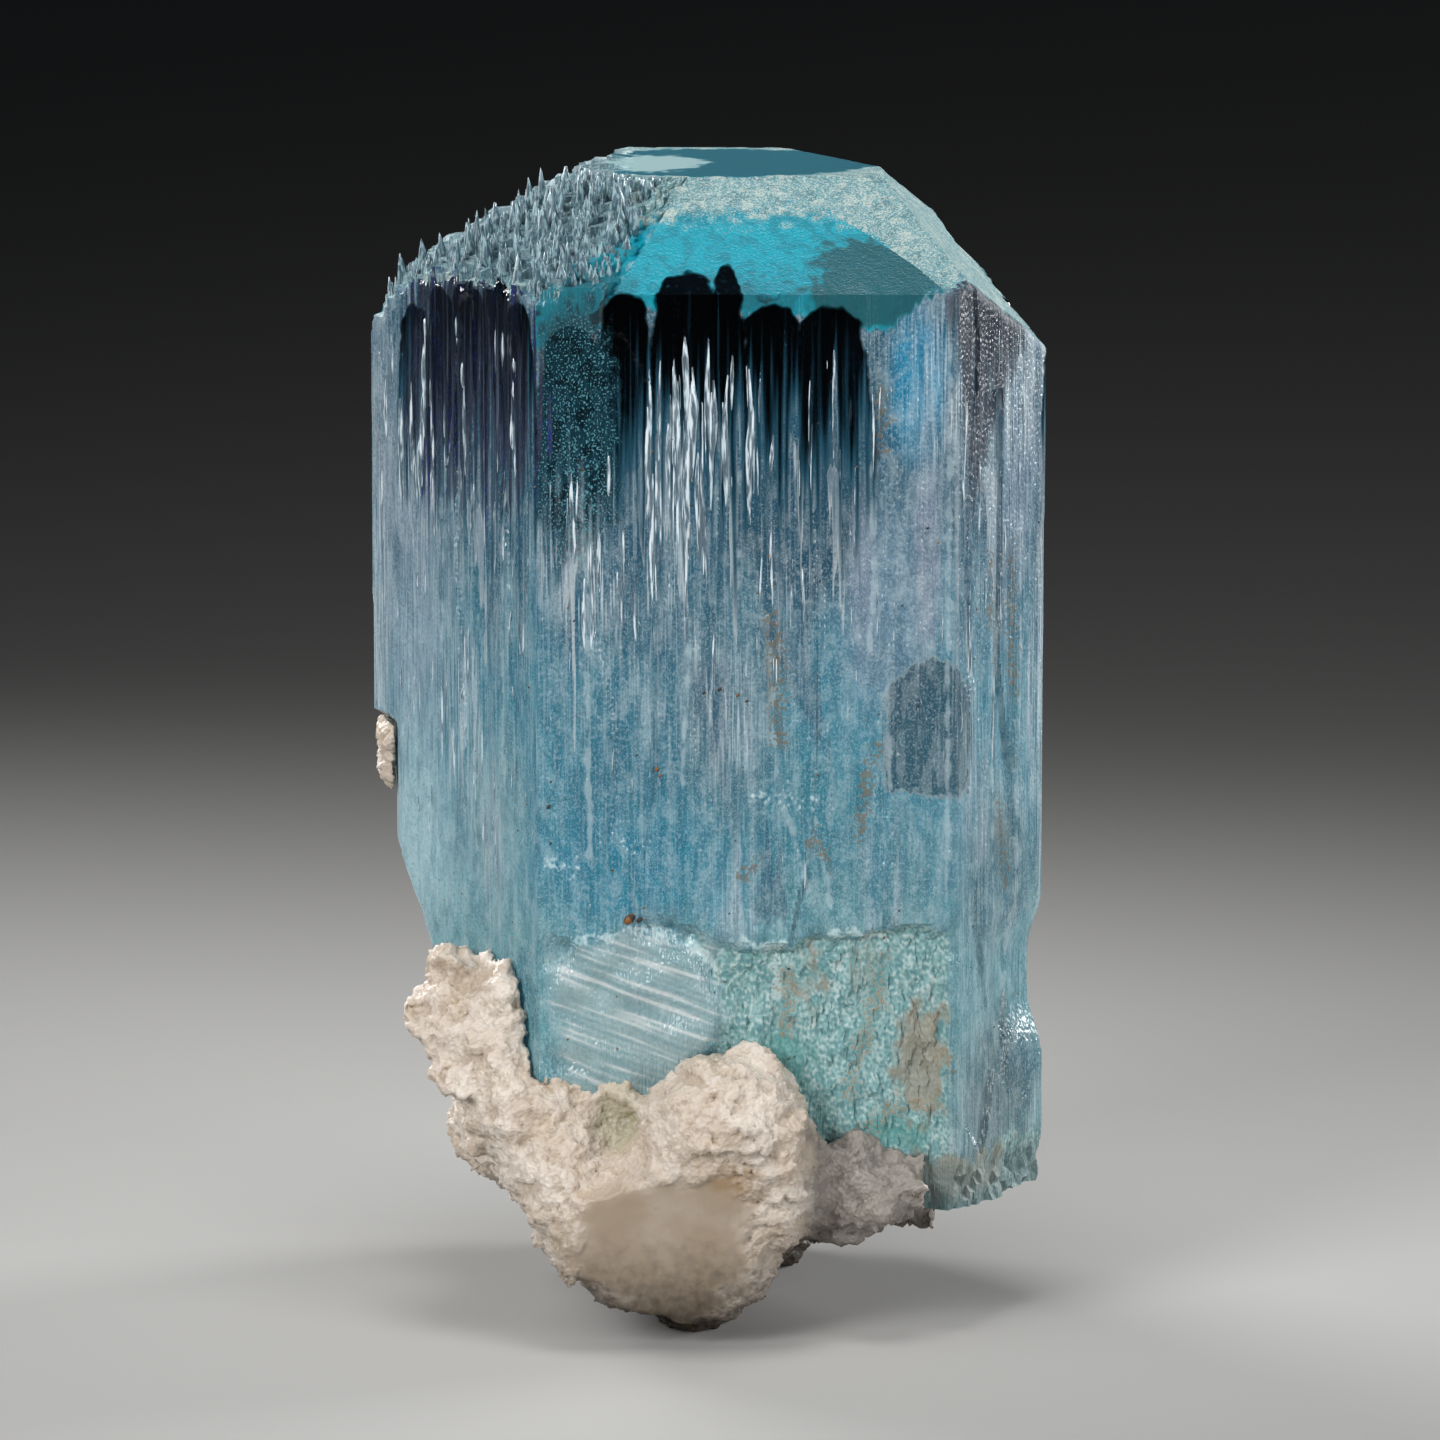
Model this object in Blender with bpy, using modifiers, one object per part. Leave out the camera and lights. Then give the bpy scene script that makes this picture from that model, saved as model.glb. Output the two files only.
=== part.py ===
"""An aquamarine crystal on white albite, as a mineral specimen that stands on its matrix.

The crystal is a six-sided prism of beryl. Its end is a flat face ringed by sloping faces, and
acid has etched it: upright plates and grooves on the sides, fins on the left shoulder, and a
rough hollow low on the front. The albite wraps its lower end and carries it on a flat foot.

Lengths are in millimetres until a mesh is written, which MM turns into metres.
X runs to the right, Y to the back and Z up. The origin is on the foot, on the floor.
"""

import math
import random

import bmesh
import bpy
import numpy as np
from mathutils import Matrix, Vector

MM = 0.001
GAP = 0.4  # free space between two pieces that touch

# The prism: its left front edge, then the widths of its sides, turning 60 degrees at each.
FIRST_EDGE = (-13.7, -18.0)
SIDE_WIDTHS = (37.4, 16.2, 31.86, 36.64, 16.96, 31.1)
CRYSTAL_TOP = 103.3
CRYSTAL_FOOT = 11.4
AXIS = (2.0, 2.5)  # a point inside every level section

# Sloping faces: (compass angle, lean back from upright, point on the face).
BEVELS = (
    (-90, 60, (0.0, -18.0, 94.6)),  # front
    (0, 44, (31.6, -4.0, 88.2)),  # right corner
    (30, 60, (31.6, -4.0, 98.4)),  # right, behind
    (90, 60, (0.0, 23.3, 101.0)),  # back
    (150, 60, (-29.2, 8.9, 94.6)),  # left, behind
    (180, 35, (-29.2, 8.9, 88.4)),  # left corner, its steep foot
    (180, 61, (-25.5, 8.9, 93.0)),  # left corner, its long slope
    (180, 72, (-12.5, 8.9, 101.0)),  # left corner, up to the flat top
    (-150, 60, (-29.2, 8.9, 94.2)),  # left, in front
)

# The left flank broke away below a ledge, and then leans in under the crystal.
LEDGE_HEIGHT = 52.4
FLANK_BREAKS = (
    (180, 0, (-27.2, 0.0, 45.0)),
    (180, -21, (-27.2, 0.0, 41.0)),
)

# Relief of the etched sides: pitch across the crystal, length up it, depth.
RIDGES = (2.4, 45.0, 0.42)
FINE_RIDGES = (1.1, 20.0, 0.21)
PLATE_WIDTH, PLATE_LENGTH, PLATE_STEP = 5.0, 34.0, 0.75
PLATE_MIDDLE = 0.3  # share of the plates' step that stands out from the flat face
BEND_PITCH, BEND_LENGTH, BEND = 9.0, 18.0, 1.2  # how the plates' borders wander
CALM_WIDTH, CALM_SHARE = 5.0, 0.25  # near an upright edge the relief dies down
SLOPE_CALM = 0.75  # share of the relief that is gone on the sloping faces
FIN_HEIGHT, FIN_PITCH, FIN_END = 2.6, 1.5, -7.0

# Low on the front the surface is hollowed, with one round boss left standing in it.
HOLLOW_LEFT, HOLLOW_RIGHT = -12.6, 24.2
HOLLOW_TOP, HOLLOW_DEPTH = 36.6, 1.7
RIM_PITCH, RIM_WANDER = 3.1, 1.3  # the hollow's upper rim
ROUGH_PITCH, ROUGH_SHARE = 2.3, 0.35  # its uneven floor
RIM_SLOPE = 0.7
BOSS_CENTRE, BOSS_RADII, BOSS_HEIGHT = (-4.2, 29.0), (7.6, 7.4), 1.4

# A shallow bite out of the right edge.
NOTCH_HEIGHT, NOTCH_REACH, NOTCH_DEPTH = 31.0, 5.2, 1.3
NOTCH_START, NOTCH_FULL = 26.0, 31.0  # along X

# The snapped lower end rises to the left, and is uneven.
FOOT_RISE, FOOT_RISE_START, FOOT_RISE_WIDTH = 0.10, 18.0, 30.0
FOOT_PITCH, FOOT_WANDER = 4.0, 0.8

# Mesh of the crystal: steps round it, and the heights of its rings above the snapped foot.
ROUND_STEPS = 100
SIDE_HEIGHTS = (18.0, 22.0, 26.0, 31.0, 34.8, 36.0, 37.6, 42.0, 51.6, 53.0, 61.0, 69.0, 77.0)
BEVEL_HEIGHTS = (85.0, 88.2, 90.2, 92.0, 93.4, 94.6, 96.6, 98.4, 100.2, 101.8, CRYSTAL_TOP)
TOP_RINGS, FOOT_RINGS = (0.6,), (0.6,)

# Chunks that grew together into the matrix: (centre, radii, number of blades set in it).
MATRIX_CHUNKS = (
    ((-21.3, -9.5, 28.4), (3.7, 6.0, 4.2), 10),  # the left arm, from its tip down
    ((-16.8, -12.4, 29.8), (3.0, 5.2, 3.8), 8),
    ((-18.0, -12.8, 25.0), (4.9, 6.4, 4.8), 12),
    ((-15.2, -14.6, 20.6), (5.6, 6.8, 5.0), 12),
    ((-12.2, -16.0, 15.8), (5.4, 7.6, 5.2), 10),
    ((-9.2, -17.2, 11.4), (5.4, 8.2, 5.4), 6),
    ((-5.0, -16.4, 7.4), (5.8, 8.6, 5.2), 4),
    ((-6.4, -14.4, 17.6), (4.6, 4.0, 6.2), 6),  # the gap between the arm and the boulder
    ((2.6, -20.0, 18.2), (7.8, 7.2, 8.6), 0),  # the boulder in front
    ((5.4, -19.2, 19.4), (5.6, 6.6, 6.6), 3),
    ((6.8, -18.0, 14.8), (5.2, 7.0, 7.4), 3),
    ((-1.6, -18.6, 12.6), (8.6, 8.8, 6.6), 0),
    ((0.6, -17.6, 7.2), (7.4, 8.6, 5.6), 4),
    ((0.2, -9.0, 2.6), (4.2, 8.6, 4.6), 6),  # the foot, from front to back
    ((-1.6, 2.0, 6.6), (8.6, 13.0, 8.4), 12),
    ((0.6, 14.0, 5.0), (12.0, 9.6, 8.4), 12),
    ((13.4, -15.4, 12.8), (4.4, 4.6, 5.0), 8),  # the grey shelf to the right
    ((17.6, -15.2, 13.0), (3.6, 4.6, 2.8), 8),
    ((10.4, -4.0, 10.6), (7.0, 9.0, 4.8), 12),
    ((17.0, -3.6, 11.0), (5.2, 8.0, 3.4), 12),
    ((-14.0, 3.0, 16.6), (8.4, 10.0, 8.4), 12),  # round the left flank
    ((-19.0, 6.0, 24.0), (5.4, 8.0, 6.0), 12),
    ((-13.0, 13.0, 13.6), (8.0, 8.0, 7.4), 12),
    ((-5.0, 20.4, 13.0), (12.0, 7.6, 9.6), 12),  # up the back
    ((8.6, 19.0, 10.6), (7.6, 6.2, 6.4), 12),
)
BLADE_SIZE = (1.6, 3.4, 4.4)  # albite grows as stacks of small blades
BLADE_SPREAD = (0.7, 1.2)  # least and greatest share of that size
BLADE_SEAT = 0.93  # how far out of its chunk a blade sits, as a share of the radius
MATRIX_VOXEL = 0.9
MATRIX_KEEP = 0.12  # share of the joined chunks' faces that stays
GRAIN_SIZE, GRAIN_HEIGHT = 2.2, 0.8

# The boulder split along a flat cleavage face, under a ledge: the block that is missing.
CLEAVAGE_CENTRE, CLEAVAGE_SIZE = (-2.0, -28.6, 9.6), (26.0, 9.0, 17.4)
CLEAVAGE_LEAN, CLEAVAGE_TURN = 13.0, 3.0  # degrees

FLOOR_BLOCK = ((0.0, 0.0, -10.0), (120.0, 120.0, 20.0))  # centre and size

# A bead of albite sits on the left edge, under the ledge.
PATCH_CHUNKS = (
    ((-27.4, 8.6, 50.4), (1.8, 3.0, 2.2), 0),
    ((-27.2, 9.4, 47.6), (1.7, 3.4, 2.4), 0),
)
PATCH_VOXEL = 0.5
PATCH_KEEP = 0.35


def clear_scene():
    for obj in list(bpy.data.objects):
        bpy.data.objects.remove(obj)


def collection(name):
    made = bpy.data.collections.new(name)
    bpy.context.scene.collection.children.link(made)
    return made


def material(name, colour, roughness, transmission=0.0):
    """A plain Principled finish. Beryl's IOR is 1.577."""
    made = bpy.data.materials.new(name)
    made.use_nodes = True
    shader = made.node_tree.nodes["Principled BSDF"]
    shader.inputs["Base Color"].default_value = (*colour, 1.0)
    shader.inputs["Roughness"].default_value = roughness
    shader.inputs["Metallic"].default_value = 0.0
    shader.inputs["Transmission Weight"].default_value = transmission
    shader.inputs["IOR"].default_value = 1.577 if transmission else 1.53
    return made


# Noise that is the same on every computer: random values at whole numbers, blended between.


def corner_value(i, j, k):
    wave = np.sin(i * 127.1 + j * 311.7 + k * 74.7) * 43758.5453
    return wave - np.floor(wave)


def smooth_noise(x, y, z):
    """Values from -1 to 1 that change over a distance of about 1."""
    i, j, k = np.floor(x), np.floor(y), np.floor(z)
    u, v, w = x - i, y - j, z - k
    u, v, w = (t * t * (3 - 2 * t) for t in (u, v, w))
    total = 0.0
    for di in (0, 1):
        for dj in (0, 1):
            for dk in (0, 1):
                share = (u if di else 1 - u) * (v if dj else 1 - v) * (w if dk else 1 - w)
                total = total + share * corner_value(i + di, j + dj, k + dk)
    return 2 * total - 1


def cell_level(x, y, z):
    """A random level from 0 to 1 that is even inside each Voronoi cell."""
    i, j, k = np.floor(x), np.floor(y), np.floor(z)
    nearest = np.full(np.shape(x), 1e9)
    level = np.zeros(np.shape(x))
    for di in (-1, 0, 1):
        for dj in (-1, 0, 1):
            for dk in (-1, 0, 1):
                a, b, c = i + di, j + dj, k + dk
                px = a + corner_value(a, b, c)
                py = b + corner_value(b + 17, c, a)
                pz = c + corner_value(c, a + 31, b)
                far = (x - px) ** 2 + (y - py) ** 2 + (z - pz) ** 2
                closer = far < nearest
                nearest = np.where(closer, far, nearest)
                level = np.where(closer, corner_value(a + 5, b + 9, c + 2), level)
    return level


def smooth_step(low, high, value):
    t = np.clip((value - low) / (high - low), 0, 1)
    return t * t * (3 - 2 * t)


# The crystal's level sections.


def prism_edges():
    """The six upright edges in plan, from the left front one, counter-clockwise from above."""
    edges = [Vector(FIRST_EDGE)]
    for turn, width in enumerate(SIDE_WIDTHS[:-1]):
        angle = math.radians(60 * turn)
        edges.append(edges[-1] + width * Vector((math.cos(angle), math.sin(angle))))
    return np.array(edges)


def points_round(edges, steps):
    """Points spread evenly along the sides of the prism, with one on each edge."""
    shares = np.maximum(3, np.round(steps * np.array(SIDE_WIDTHS) / sum(SIDE_WIDTHS)))
    spread = [
        start + np.linspace(0, 1, int(count), endpoint=False)[:, None] * (end - start)
        for start, end, count in zip(edges, np.roll(edges, -1, axis=0), shares)
    ]
    return np.concatenate(spread)


def face_plane(compass, lean, point):
    """(outward normal, distance from the origin) of a face."""
    turn, back = math.radians(compass), math.radians(lean)
    normal = np.array(
        (math.cos(turn) * math.cos(back), math.sin(turn) * math.cos(back), math.sin(back))
    )
    return normal, float(normal @ np.array(point))


def reach(plane, way, height):
    """How far a level ray from AXIS travels before it meets the face. It never meets some."""
    normal, distance = plane
    facing = way @ normal[:2]
    ahead = distance - normal[2] * height - normal[:2] @ np.array(AXIS)
    return np.where(facing > 1e-6, ahead / np.maximum(facing, 1e-6), 1e9)


def section_reach(way, height, side_planes, bevel_planes, break_planes):
    """The crystal's outline at each height: the nearest face along each ray."""
    nearest = np.full(np.shape(height), 1e9)
    for plane in (*side_planes, *bevel_planes):
        nearest = np.minimum(nearest, reach(plane, way, height))
    for plane in break_planes:
        broken = np.minimum(nearest, reach(plane, way, height))
        nearest = np.where(height < LEDGE_HEIGHT, broken, nearest)
    return nearest


def etched_relief(x, y, z):
    """How far the etched side stands out from its flat face, at a point of the prism."""
    pitch, length, depth = RIDGES
    ridges = depth * smooth_noise(x / pitch, y / pitch, z / length)
    pitch, length, depth = FINE_RIDGES
    ridges = ridges + depth * smooth_noise(x / pitch + 9, y / pitch, z / length)
    bend = BEND * smooth_noise(x / BEND_PITCH, y / BEND_PITCH, z / BEND_LENGTH)
    level = cell_level((x + bend) / PLATE_WIDTH, (y + bend) / PLATE_WIDTH, z / PLATE_LENGTH)
    return ridges + PLATE_STEP * (PLATE_MIDDLE - level)


def calm_near_edges(base, edges):
    """Share of the relief that stays at each point of the outline."""
    nearest = np.min([np.linalg.norm(base - edge, axis=1) for edge in edges], axis=0)
    return CALM_SHARE + (1 - CALM_SHARE) * smooth_step(0, CALM_WIDTH, nearest)


def front_hollow(x, z):
    """Depth of the rough hollow low on the front, less the boss that stands in it."""
    rim = HOLLOW_TOP + RIM_WANDER * smooth_noise(x / RIM_PITCH, 0 * x, 0 * x + 4.5)
    inside = smooth_step(HOLLOW_LEFT - RIM_SLOPE, HOLLOW_LEFT + RIM_SLOPE, x)
    inside = inside * smooth_step(HOLLOW_RIGHT + RIM_SLOPE, HOLLOW_RIGHT - RIM_SLOPE, x)
    inside = inside * smooth_step(rim + RIM_SLOPE, rim - RIM_SLOPE, z)
    uneven = smooth_noise(x / ROUGH_PITCH, 0 * x + 2.5, z / ROUGH_PITCH)
    rough = 1 + ROUGH_SHARE * uneven
    along, up = (x - BOSS_CENTRE[0]) / BOSS_RADII[0], (z - BOSS_CENTRE[1]) / BOSS_RADII[1]
    boss = BOSS_HEIGHT * smooth_step(1.0, 0.75, np.hypot(along, up))
    return inside * (HOLLOW_DEPTH * rough - boss)


def broken_foot_height(x, y):
    """Height of the snapped lower end of the crystal."""
    rise = FOOT_RISE * np.clip(FOOT_RISE_START - x, 0, FOOT_RISE_WIDTH)
    uneven = smooth_noise(x / FOOT_PITCH, y / FOOT_PITCH, 0 * x + 7.5)
    return CRYSTAL_FOOT + rise + FOOT_WANDER * uneven


def crystal_rings(grow=0.0):
    """Rings of points from the snapped foot to the flat top, and the two poles.

    grow moves the whole surface outwards, for the socket that the crystal leaves in the albite.
    """
    edges = prism_edges()
    base = points_round(edges, ROUND_STEPS)
    axis = np.array(AXIS)
    way = base - axis
    way = way / np.linalg.norm(way, axis=1)[:, None]
    side_planes = [
        face_plane(60 * side - 90, 0, (*edge, 0.0)) for side, edge in enumerate(edges)
    ]
    bevel_planes = [face_plane(*bevel) for bevel in BEVELS]
    break_planes = [face_plane(*fault) for fault in FLANK_BREAKS]

    foot = broken_foot_height(base[:, 0], base[:, 1]) - grow
    upper = np.array((*SIDE_HEIGHTS, *BEVEL_HEIGHTS))
    height = np.concatenate([foot[None], upper[:, None] + 0 * foot])
    rows = (len(height), 1)
    x, y = np.tile(base[:, 0], rows), np.tile(base[:, 1], rows)

    # Fins on the left shoulder: the outline steps in at random heights instead of sloping.
    jitter = FIN_HEIGHT * corner_value(np.floor(x / FIN_PITCH), np.floor(y / FIN_PITCH), 3)
    stepped = FIN_HEIGHT * (np.floor((height - jitter) / FIN_HEIGHT) + 0.5) + jitter
    on_left = (x < FIN_END) & (height > BEVEL_HEIGHTS[0])
    looked_up = np.where(on_left, np.clip(stepped, BEVEL_HEIGHTS[0], CRYSTAL_TOP), height)

    out = section_reach(way, looked_up, side_planes, bevel_planes, break_planes)
    sloped = smooth_step(BEVEL_HEIGHTS[1], BEVEL_HEIGHTS[5], height)
    calm = calm_near_edges(base, edges) * (1 - SLOPE_CALM * sloped)
    out = out + etched_relief(x, y, height) * calm
    on_front = y < edges[0][1] + 0.01
    out = out - np.where(on_front, front_hollow(x, height), 0.0) / -way[:, 1].clip(-1, -0.5)
    bite = np.exp(-(((height - NOTCH_HEIGHT) / NOTCH_REACH) ** 4))
    out = out - NOTCH_DEPTH * bite * smooth_step(NOTCH_START, NOTCH_FULL, x)
    out = out + grow

    plan = axis + out[..., None] * way
    rings = np.concatenate([plan, height[..., None]], axis=2)

    def shrunk(ring, share, level):
        inner = axis + share * (ring[:, :2] - axis)
        return np.column_stack([inner, level(inner[:, 0], inner[:, 1])])

    def foot_level(at_x, at_y):
        return broken_foot_height(at_x, at_y) - grow

    def top_level(at_x, at_y):
        return CRYSTAL_TOP + 0 * at_x + 0 * at_y

    below = [shrunk(rings[0], share, foot_level) for share in FOOT_RINGS]
    above = [shrunk(rings[-1], share, top_level) for share in TOP_RINGS]
    poles = (
        (*AXIS, float(foot_level(*axis[:, None])[0])),
        (*AXIS, CRYSTAL_TOP),
    )
    return [*below, *rings, *above], poles


def loft(name, rings, poles):
    """A closed mesh through rings of unlike outline, closed by a fan at each end."""
    bm = bmesh.new()
    rows = [[bm.verts.new(Vector(point) * MM) for point in ring] for ring in rings]
    low, high = (bm.verts.new(Vector(pole) * MM) for pole in poles)
    count = len(rows[0])
    for lower, upper in zip(rows, rows[1:]):
        for i in range(count):
            j = (i + 1) % count
            bm.faces.new((lower[i], lower[j], upper[j], upper[i]))
    for i in range(count):
        j = (i + 1) % count
        bm.faces.new((low, rows[0][j], rows[0][i]))
        bm.faces.new((high, rows[-1][i], rows[-1][j]))
    mesh = bpy.data.meshes.new(name)
    bm.to_mesh(mesh)
    bm.free()
    return bpy.data.objects.new(name, mesh)


def random_turn(chance):
    """A rotation to any side, the same each time the script runs."""
    axis = Vector((chance.uniform(-1, 1), chance.uniform(-1, 1), chance.uniform(-1, 1)))
    return Matrix.Rotation(chance.uniform(0, math.pi), 4, axis.normalized())


def chunks(name, places, chance):
    """Overlapping angular chunks set with blades, in one mesh, which a Remesh joins."""
    bm = bmesh.new()
    for centre, radii, blades in places:
        place = Matrix.Translation(Vector(centre) * MM) @ Matrix.Diagonal((*radii, 1.0))
        turned = place @ random_turn(chance)
        bmesh.ops.create_icosphere(bm, subdivisions=2, radius=MM, matrix=turned)
        for _ in range(blades):
            way = random_turn(chance) @ Vector((0.0, 0.0, BLADE_SEAT * MM))
            size = [side * chance.uniform(*BLADE_SPREAD) for side in BLADE_SIZE]
            blade = random_turn(chance) @ Matrix.Diagonal((*size, 1.0))
            at = Matrix.Translation(place @ way)
            bmesh.ops.create_cube(bm, size=MM, matrix=at @ blade)
    mesh = bpy.data.meshes.new(name)
    bm.to_mesh(mesh)
    bm.free()
    return bpy.data.objects.new(name, mesh)


def rock(name, places, voxel, keep):
    """Chunks and blades joined into one rough solid."""
    obj = chunks(name, places, random.Random(name))
    join = obj.modifiers.new("join", "REMESH")
    join.mode = "VOXEL"
    join.voxel_size = voxel * MM
    texture = bpy.data.textures.new(name + "_grain", "CLOUDS")
    texture.noise_scale = GRAIN_SIZE * MM
    roughen = obj.modifiers.new("grain", "DISPLACE")
    roughen.texture = texture
    roughen.texture_coords = "LOCAL"
    roughen.strength = GRAIN_HEIGHT * MM
    thin = obj.modifiers.new("thin", "DECIMATE")
    thin.ratio = keep
    return obj


def cut(obj, cutter):
    boolean = obj.modifiers.new("cut_" + cutter.name, "BOOLEAN")
    boolean.operation = "DIFFERENCE"
    boolean.object = cutter


def as_cutter(obj, cutters):
    obj.hide_render = True
    obj.display_type = "WIRE"
    cutters.objects.link(obj)
    return obj


def block(name, centre, size, turn):
    """A box of space, to be cut away."""
    bm = bmesh.new()
    place = Matrix.Translation(Vector(centre) * MM) @ turn @ Matrix.Diagonal((*size, 1.0))
    bmesh.ops.create_cube(bm, size=MM, matrix=place)
    mesh = bpy.data.meshes.new(name)
    bm.to_mesh(mesh)
    bm.free()
    return bpy.data.objects.new(name, mesh)


def main():
    clear_scene()
    specimen = collection("aquamarine_specimen")
    cutters = collection("cutters")
    beryl = material("beryl", (0.25, 0.50, 0.58), 0.15, transmission=0.8)
    albite = material("albite", (0.72, 0.66, 0.58), 0.7)

    crystal = loft("aquamarine_crystal", *crystal_rings())
    socket = loft("socket", *crystal_rings(grow=GAP))
    as_cutter(socket, cutters)
    floor = as_cutter(block("floor", *FLOOR_BLOCK, Matrix.Identity(4)), cutters)
    lean = Matrix.Rotation(math.radians(CLEAVAGE_LEAN), 4, "X")
    turn = Matrix.Rotation(math.radians(CLEAVAGE_TURN), 4, "Z")
    cleavage = block("cleavage", CLEAVAGE_CENTRE, CLEAVAGE_SIZE, turn @ lean)
    as_cutter(cleavage, cutters)

    matrix = rock("albite_matrix", MATRIX_CHUNKS, MATRIX_VOXEL, MATRIX_KEEP)
    for cutter in (socket, cleavage, floor):
        cut(matrix, cutter)
    patch = rock("albite_patch", PATCH_CHUNKS, PATCH_VOXEL, PATCH_KEEP)
    cut(patch, socket)

    for piece, finish in ((crystal, beryl), (matrix, albite), (patch, albite)):
        piece.data.materials.append(finish)
        specimen.objects.link(piece)


main()
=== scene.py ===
# %% [markdown]
# # An aquamarine on white albite
#
# Aquamarine is the blue variety of beryl, a mineral that grows as six-sided prisms. This one
# was etched by hot fluids after it grew. The acid left upright plates and grooves on its sides,
# fins and teeth on its left shoulder, and hollow white tubes in its clear front. White albite, a
# feldspar that grows as stacks of small blades, wraps the lower end and carries the crystal.
#
# The plan: work out the crystal and the albite as fine surfaces, give each its finish, add the
# tubes inside the crystal, and light it on a pale floor.

# %% The frame
import math

import bmesh
import bpy
import numpy as np
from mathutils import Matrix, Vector


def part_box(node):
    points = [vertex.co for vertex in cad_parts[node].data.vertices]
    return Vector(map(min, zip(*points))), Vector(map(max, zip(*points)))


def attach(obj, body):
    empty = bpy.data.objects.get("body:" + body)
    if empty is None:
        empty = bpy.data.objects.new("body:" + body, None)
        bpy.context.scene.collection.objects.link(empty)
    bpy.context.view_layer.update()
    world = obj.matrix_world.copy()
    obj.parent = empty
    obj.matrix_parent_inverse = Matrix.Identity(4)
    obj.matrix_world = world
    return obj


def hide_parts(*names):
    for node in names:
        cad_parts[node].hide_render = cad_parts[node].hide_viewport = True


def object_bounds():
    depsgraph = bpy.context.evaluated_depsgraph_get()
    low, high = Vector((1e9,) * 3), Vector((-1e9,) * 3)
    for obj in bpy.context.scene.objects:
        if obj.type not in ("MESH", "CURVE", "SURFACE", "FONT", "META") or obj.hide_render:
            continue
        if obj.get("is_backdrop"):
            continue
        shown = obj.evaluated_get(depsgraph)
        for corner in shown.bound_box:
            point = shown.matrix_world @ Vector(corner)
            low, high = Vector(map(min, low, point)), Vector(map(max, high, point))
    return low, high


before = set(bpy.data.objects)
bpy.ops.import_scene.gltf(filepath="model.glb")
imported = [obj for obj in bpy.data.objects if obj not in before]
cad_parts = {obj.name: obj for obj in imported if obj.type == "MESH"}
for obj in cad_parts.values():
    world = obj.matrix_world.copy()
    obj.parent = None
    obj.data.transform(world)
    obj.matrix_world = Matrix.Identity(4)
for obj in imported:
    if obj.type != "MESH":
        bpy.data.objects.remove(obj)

MM = 0.001
cad_box = [list(corner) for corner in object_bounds()]
print("the model measures", [round((b - a) / MM, 1) for a, b in zip(*cad_box)], "mm")

# %% [markdown]
# ## Helpers
#
# Every surface here is a grid of points, so one function turns a grid into a mesh. Colours are
# written as sRGB hex values, the way a colour picker shows them, and one function turns them
# into the linear values that a shader wants. A third stores a number for each point of a mesh,
# and a shader can read that by its name.

# %% Colours, meshes and fields
def linear(hex_colour):
    """An sRGB hex colour such as "#5B8493" as linear RGBA."""
    parts = [int(hex_colour[i : i + 2], 16) / 255 for i in (1, 3, 5)]
    return (*(p / 12.92 if p <= 0.04045 else ((p + 0.055) / 1.055) ** 2.4 for p in parts), 1.0)


def mesh_object(name, points, faces):
    """A smooth-shaded object from points in millimetres and a list of corners for each face."""
    mesh = bpy.data.meshes.new(name)
    mesh.from_pydata((np.asarray(points) * MM).tolist(), [], faces)
    mesh.polygons.foreach_set("use_smooth", np.ones(len(faces), bool))
    made = bpy.data.objects.new(name, mesh)
    bpy.context.scene.collection.objects.link(made)
    return made


def give_field(obj, name, values):
    """Stores one number for each point, which a shader reads by name."""
    attribute = obj.data.attributes.new(name, "FLOAT", "POINT")
    attribute.data.foreach_set("value", np.ascontiguousarray(values, np.float32).ravel())


print("a colour and its linear value:", "#5B8493", [round(v, 3) for v in linear("#5B8493")])

# %% [markdown]
# ## Noise
#
# Natural relief needs irregular values that are the same on each run. A sine of whole numbers,
# scaled up until only its last digits count, gives a value at each point of a lattice. Blending
# between the corners gives smooth noise, and the nearest of scattered points gives cells.

# %% Noise on a lattice
def corner_value(i, j, k):
    """A value from 0 to 1 at a lattice corner: the fraction of a large sine."""
    wave = np.sin(i * 127.1 + j * 311.7 + k * 74.7) * 43758.5453
    return wave - np.floor(wave)


def smooth_step(low, high, value):
    """0 below low and 1 above high, with the curve 3t^2 - 2t^3 between."""
    t = np.clip((value - low) / (high - low), 0, 1)
    return t * t * (3 - 2 * t)


def smooth_noise(x, y, z):
    """Values from -1 to 1 that change over a distance of about 1."""
    x, y, z = np.broadcast_arrays(x, y, z)
    i, j, k = np.floor(x), np.floor(y), np.floor(z)
    u, v, w = (t * t * (3 - 2 * t) for t in (x - i, y - j, z - k))
    total = 0.0
    for di in (0, 1):
        for dj in (0, 1):
            for dk in (0, 1):
                share = (u if di else 1 - u) * (v if dj else 1 - v) * (w if dk else 1 - w)
                total = total + share * corner_value(i + di, j + dj, k + dk)
    return 2 * total - 1


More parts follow.
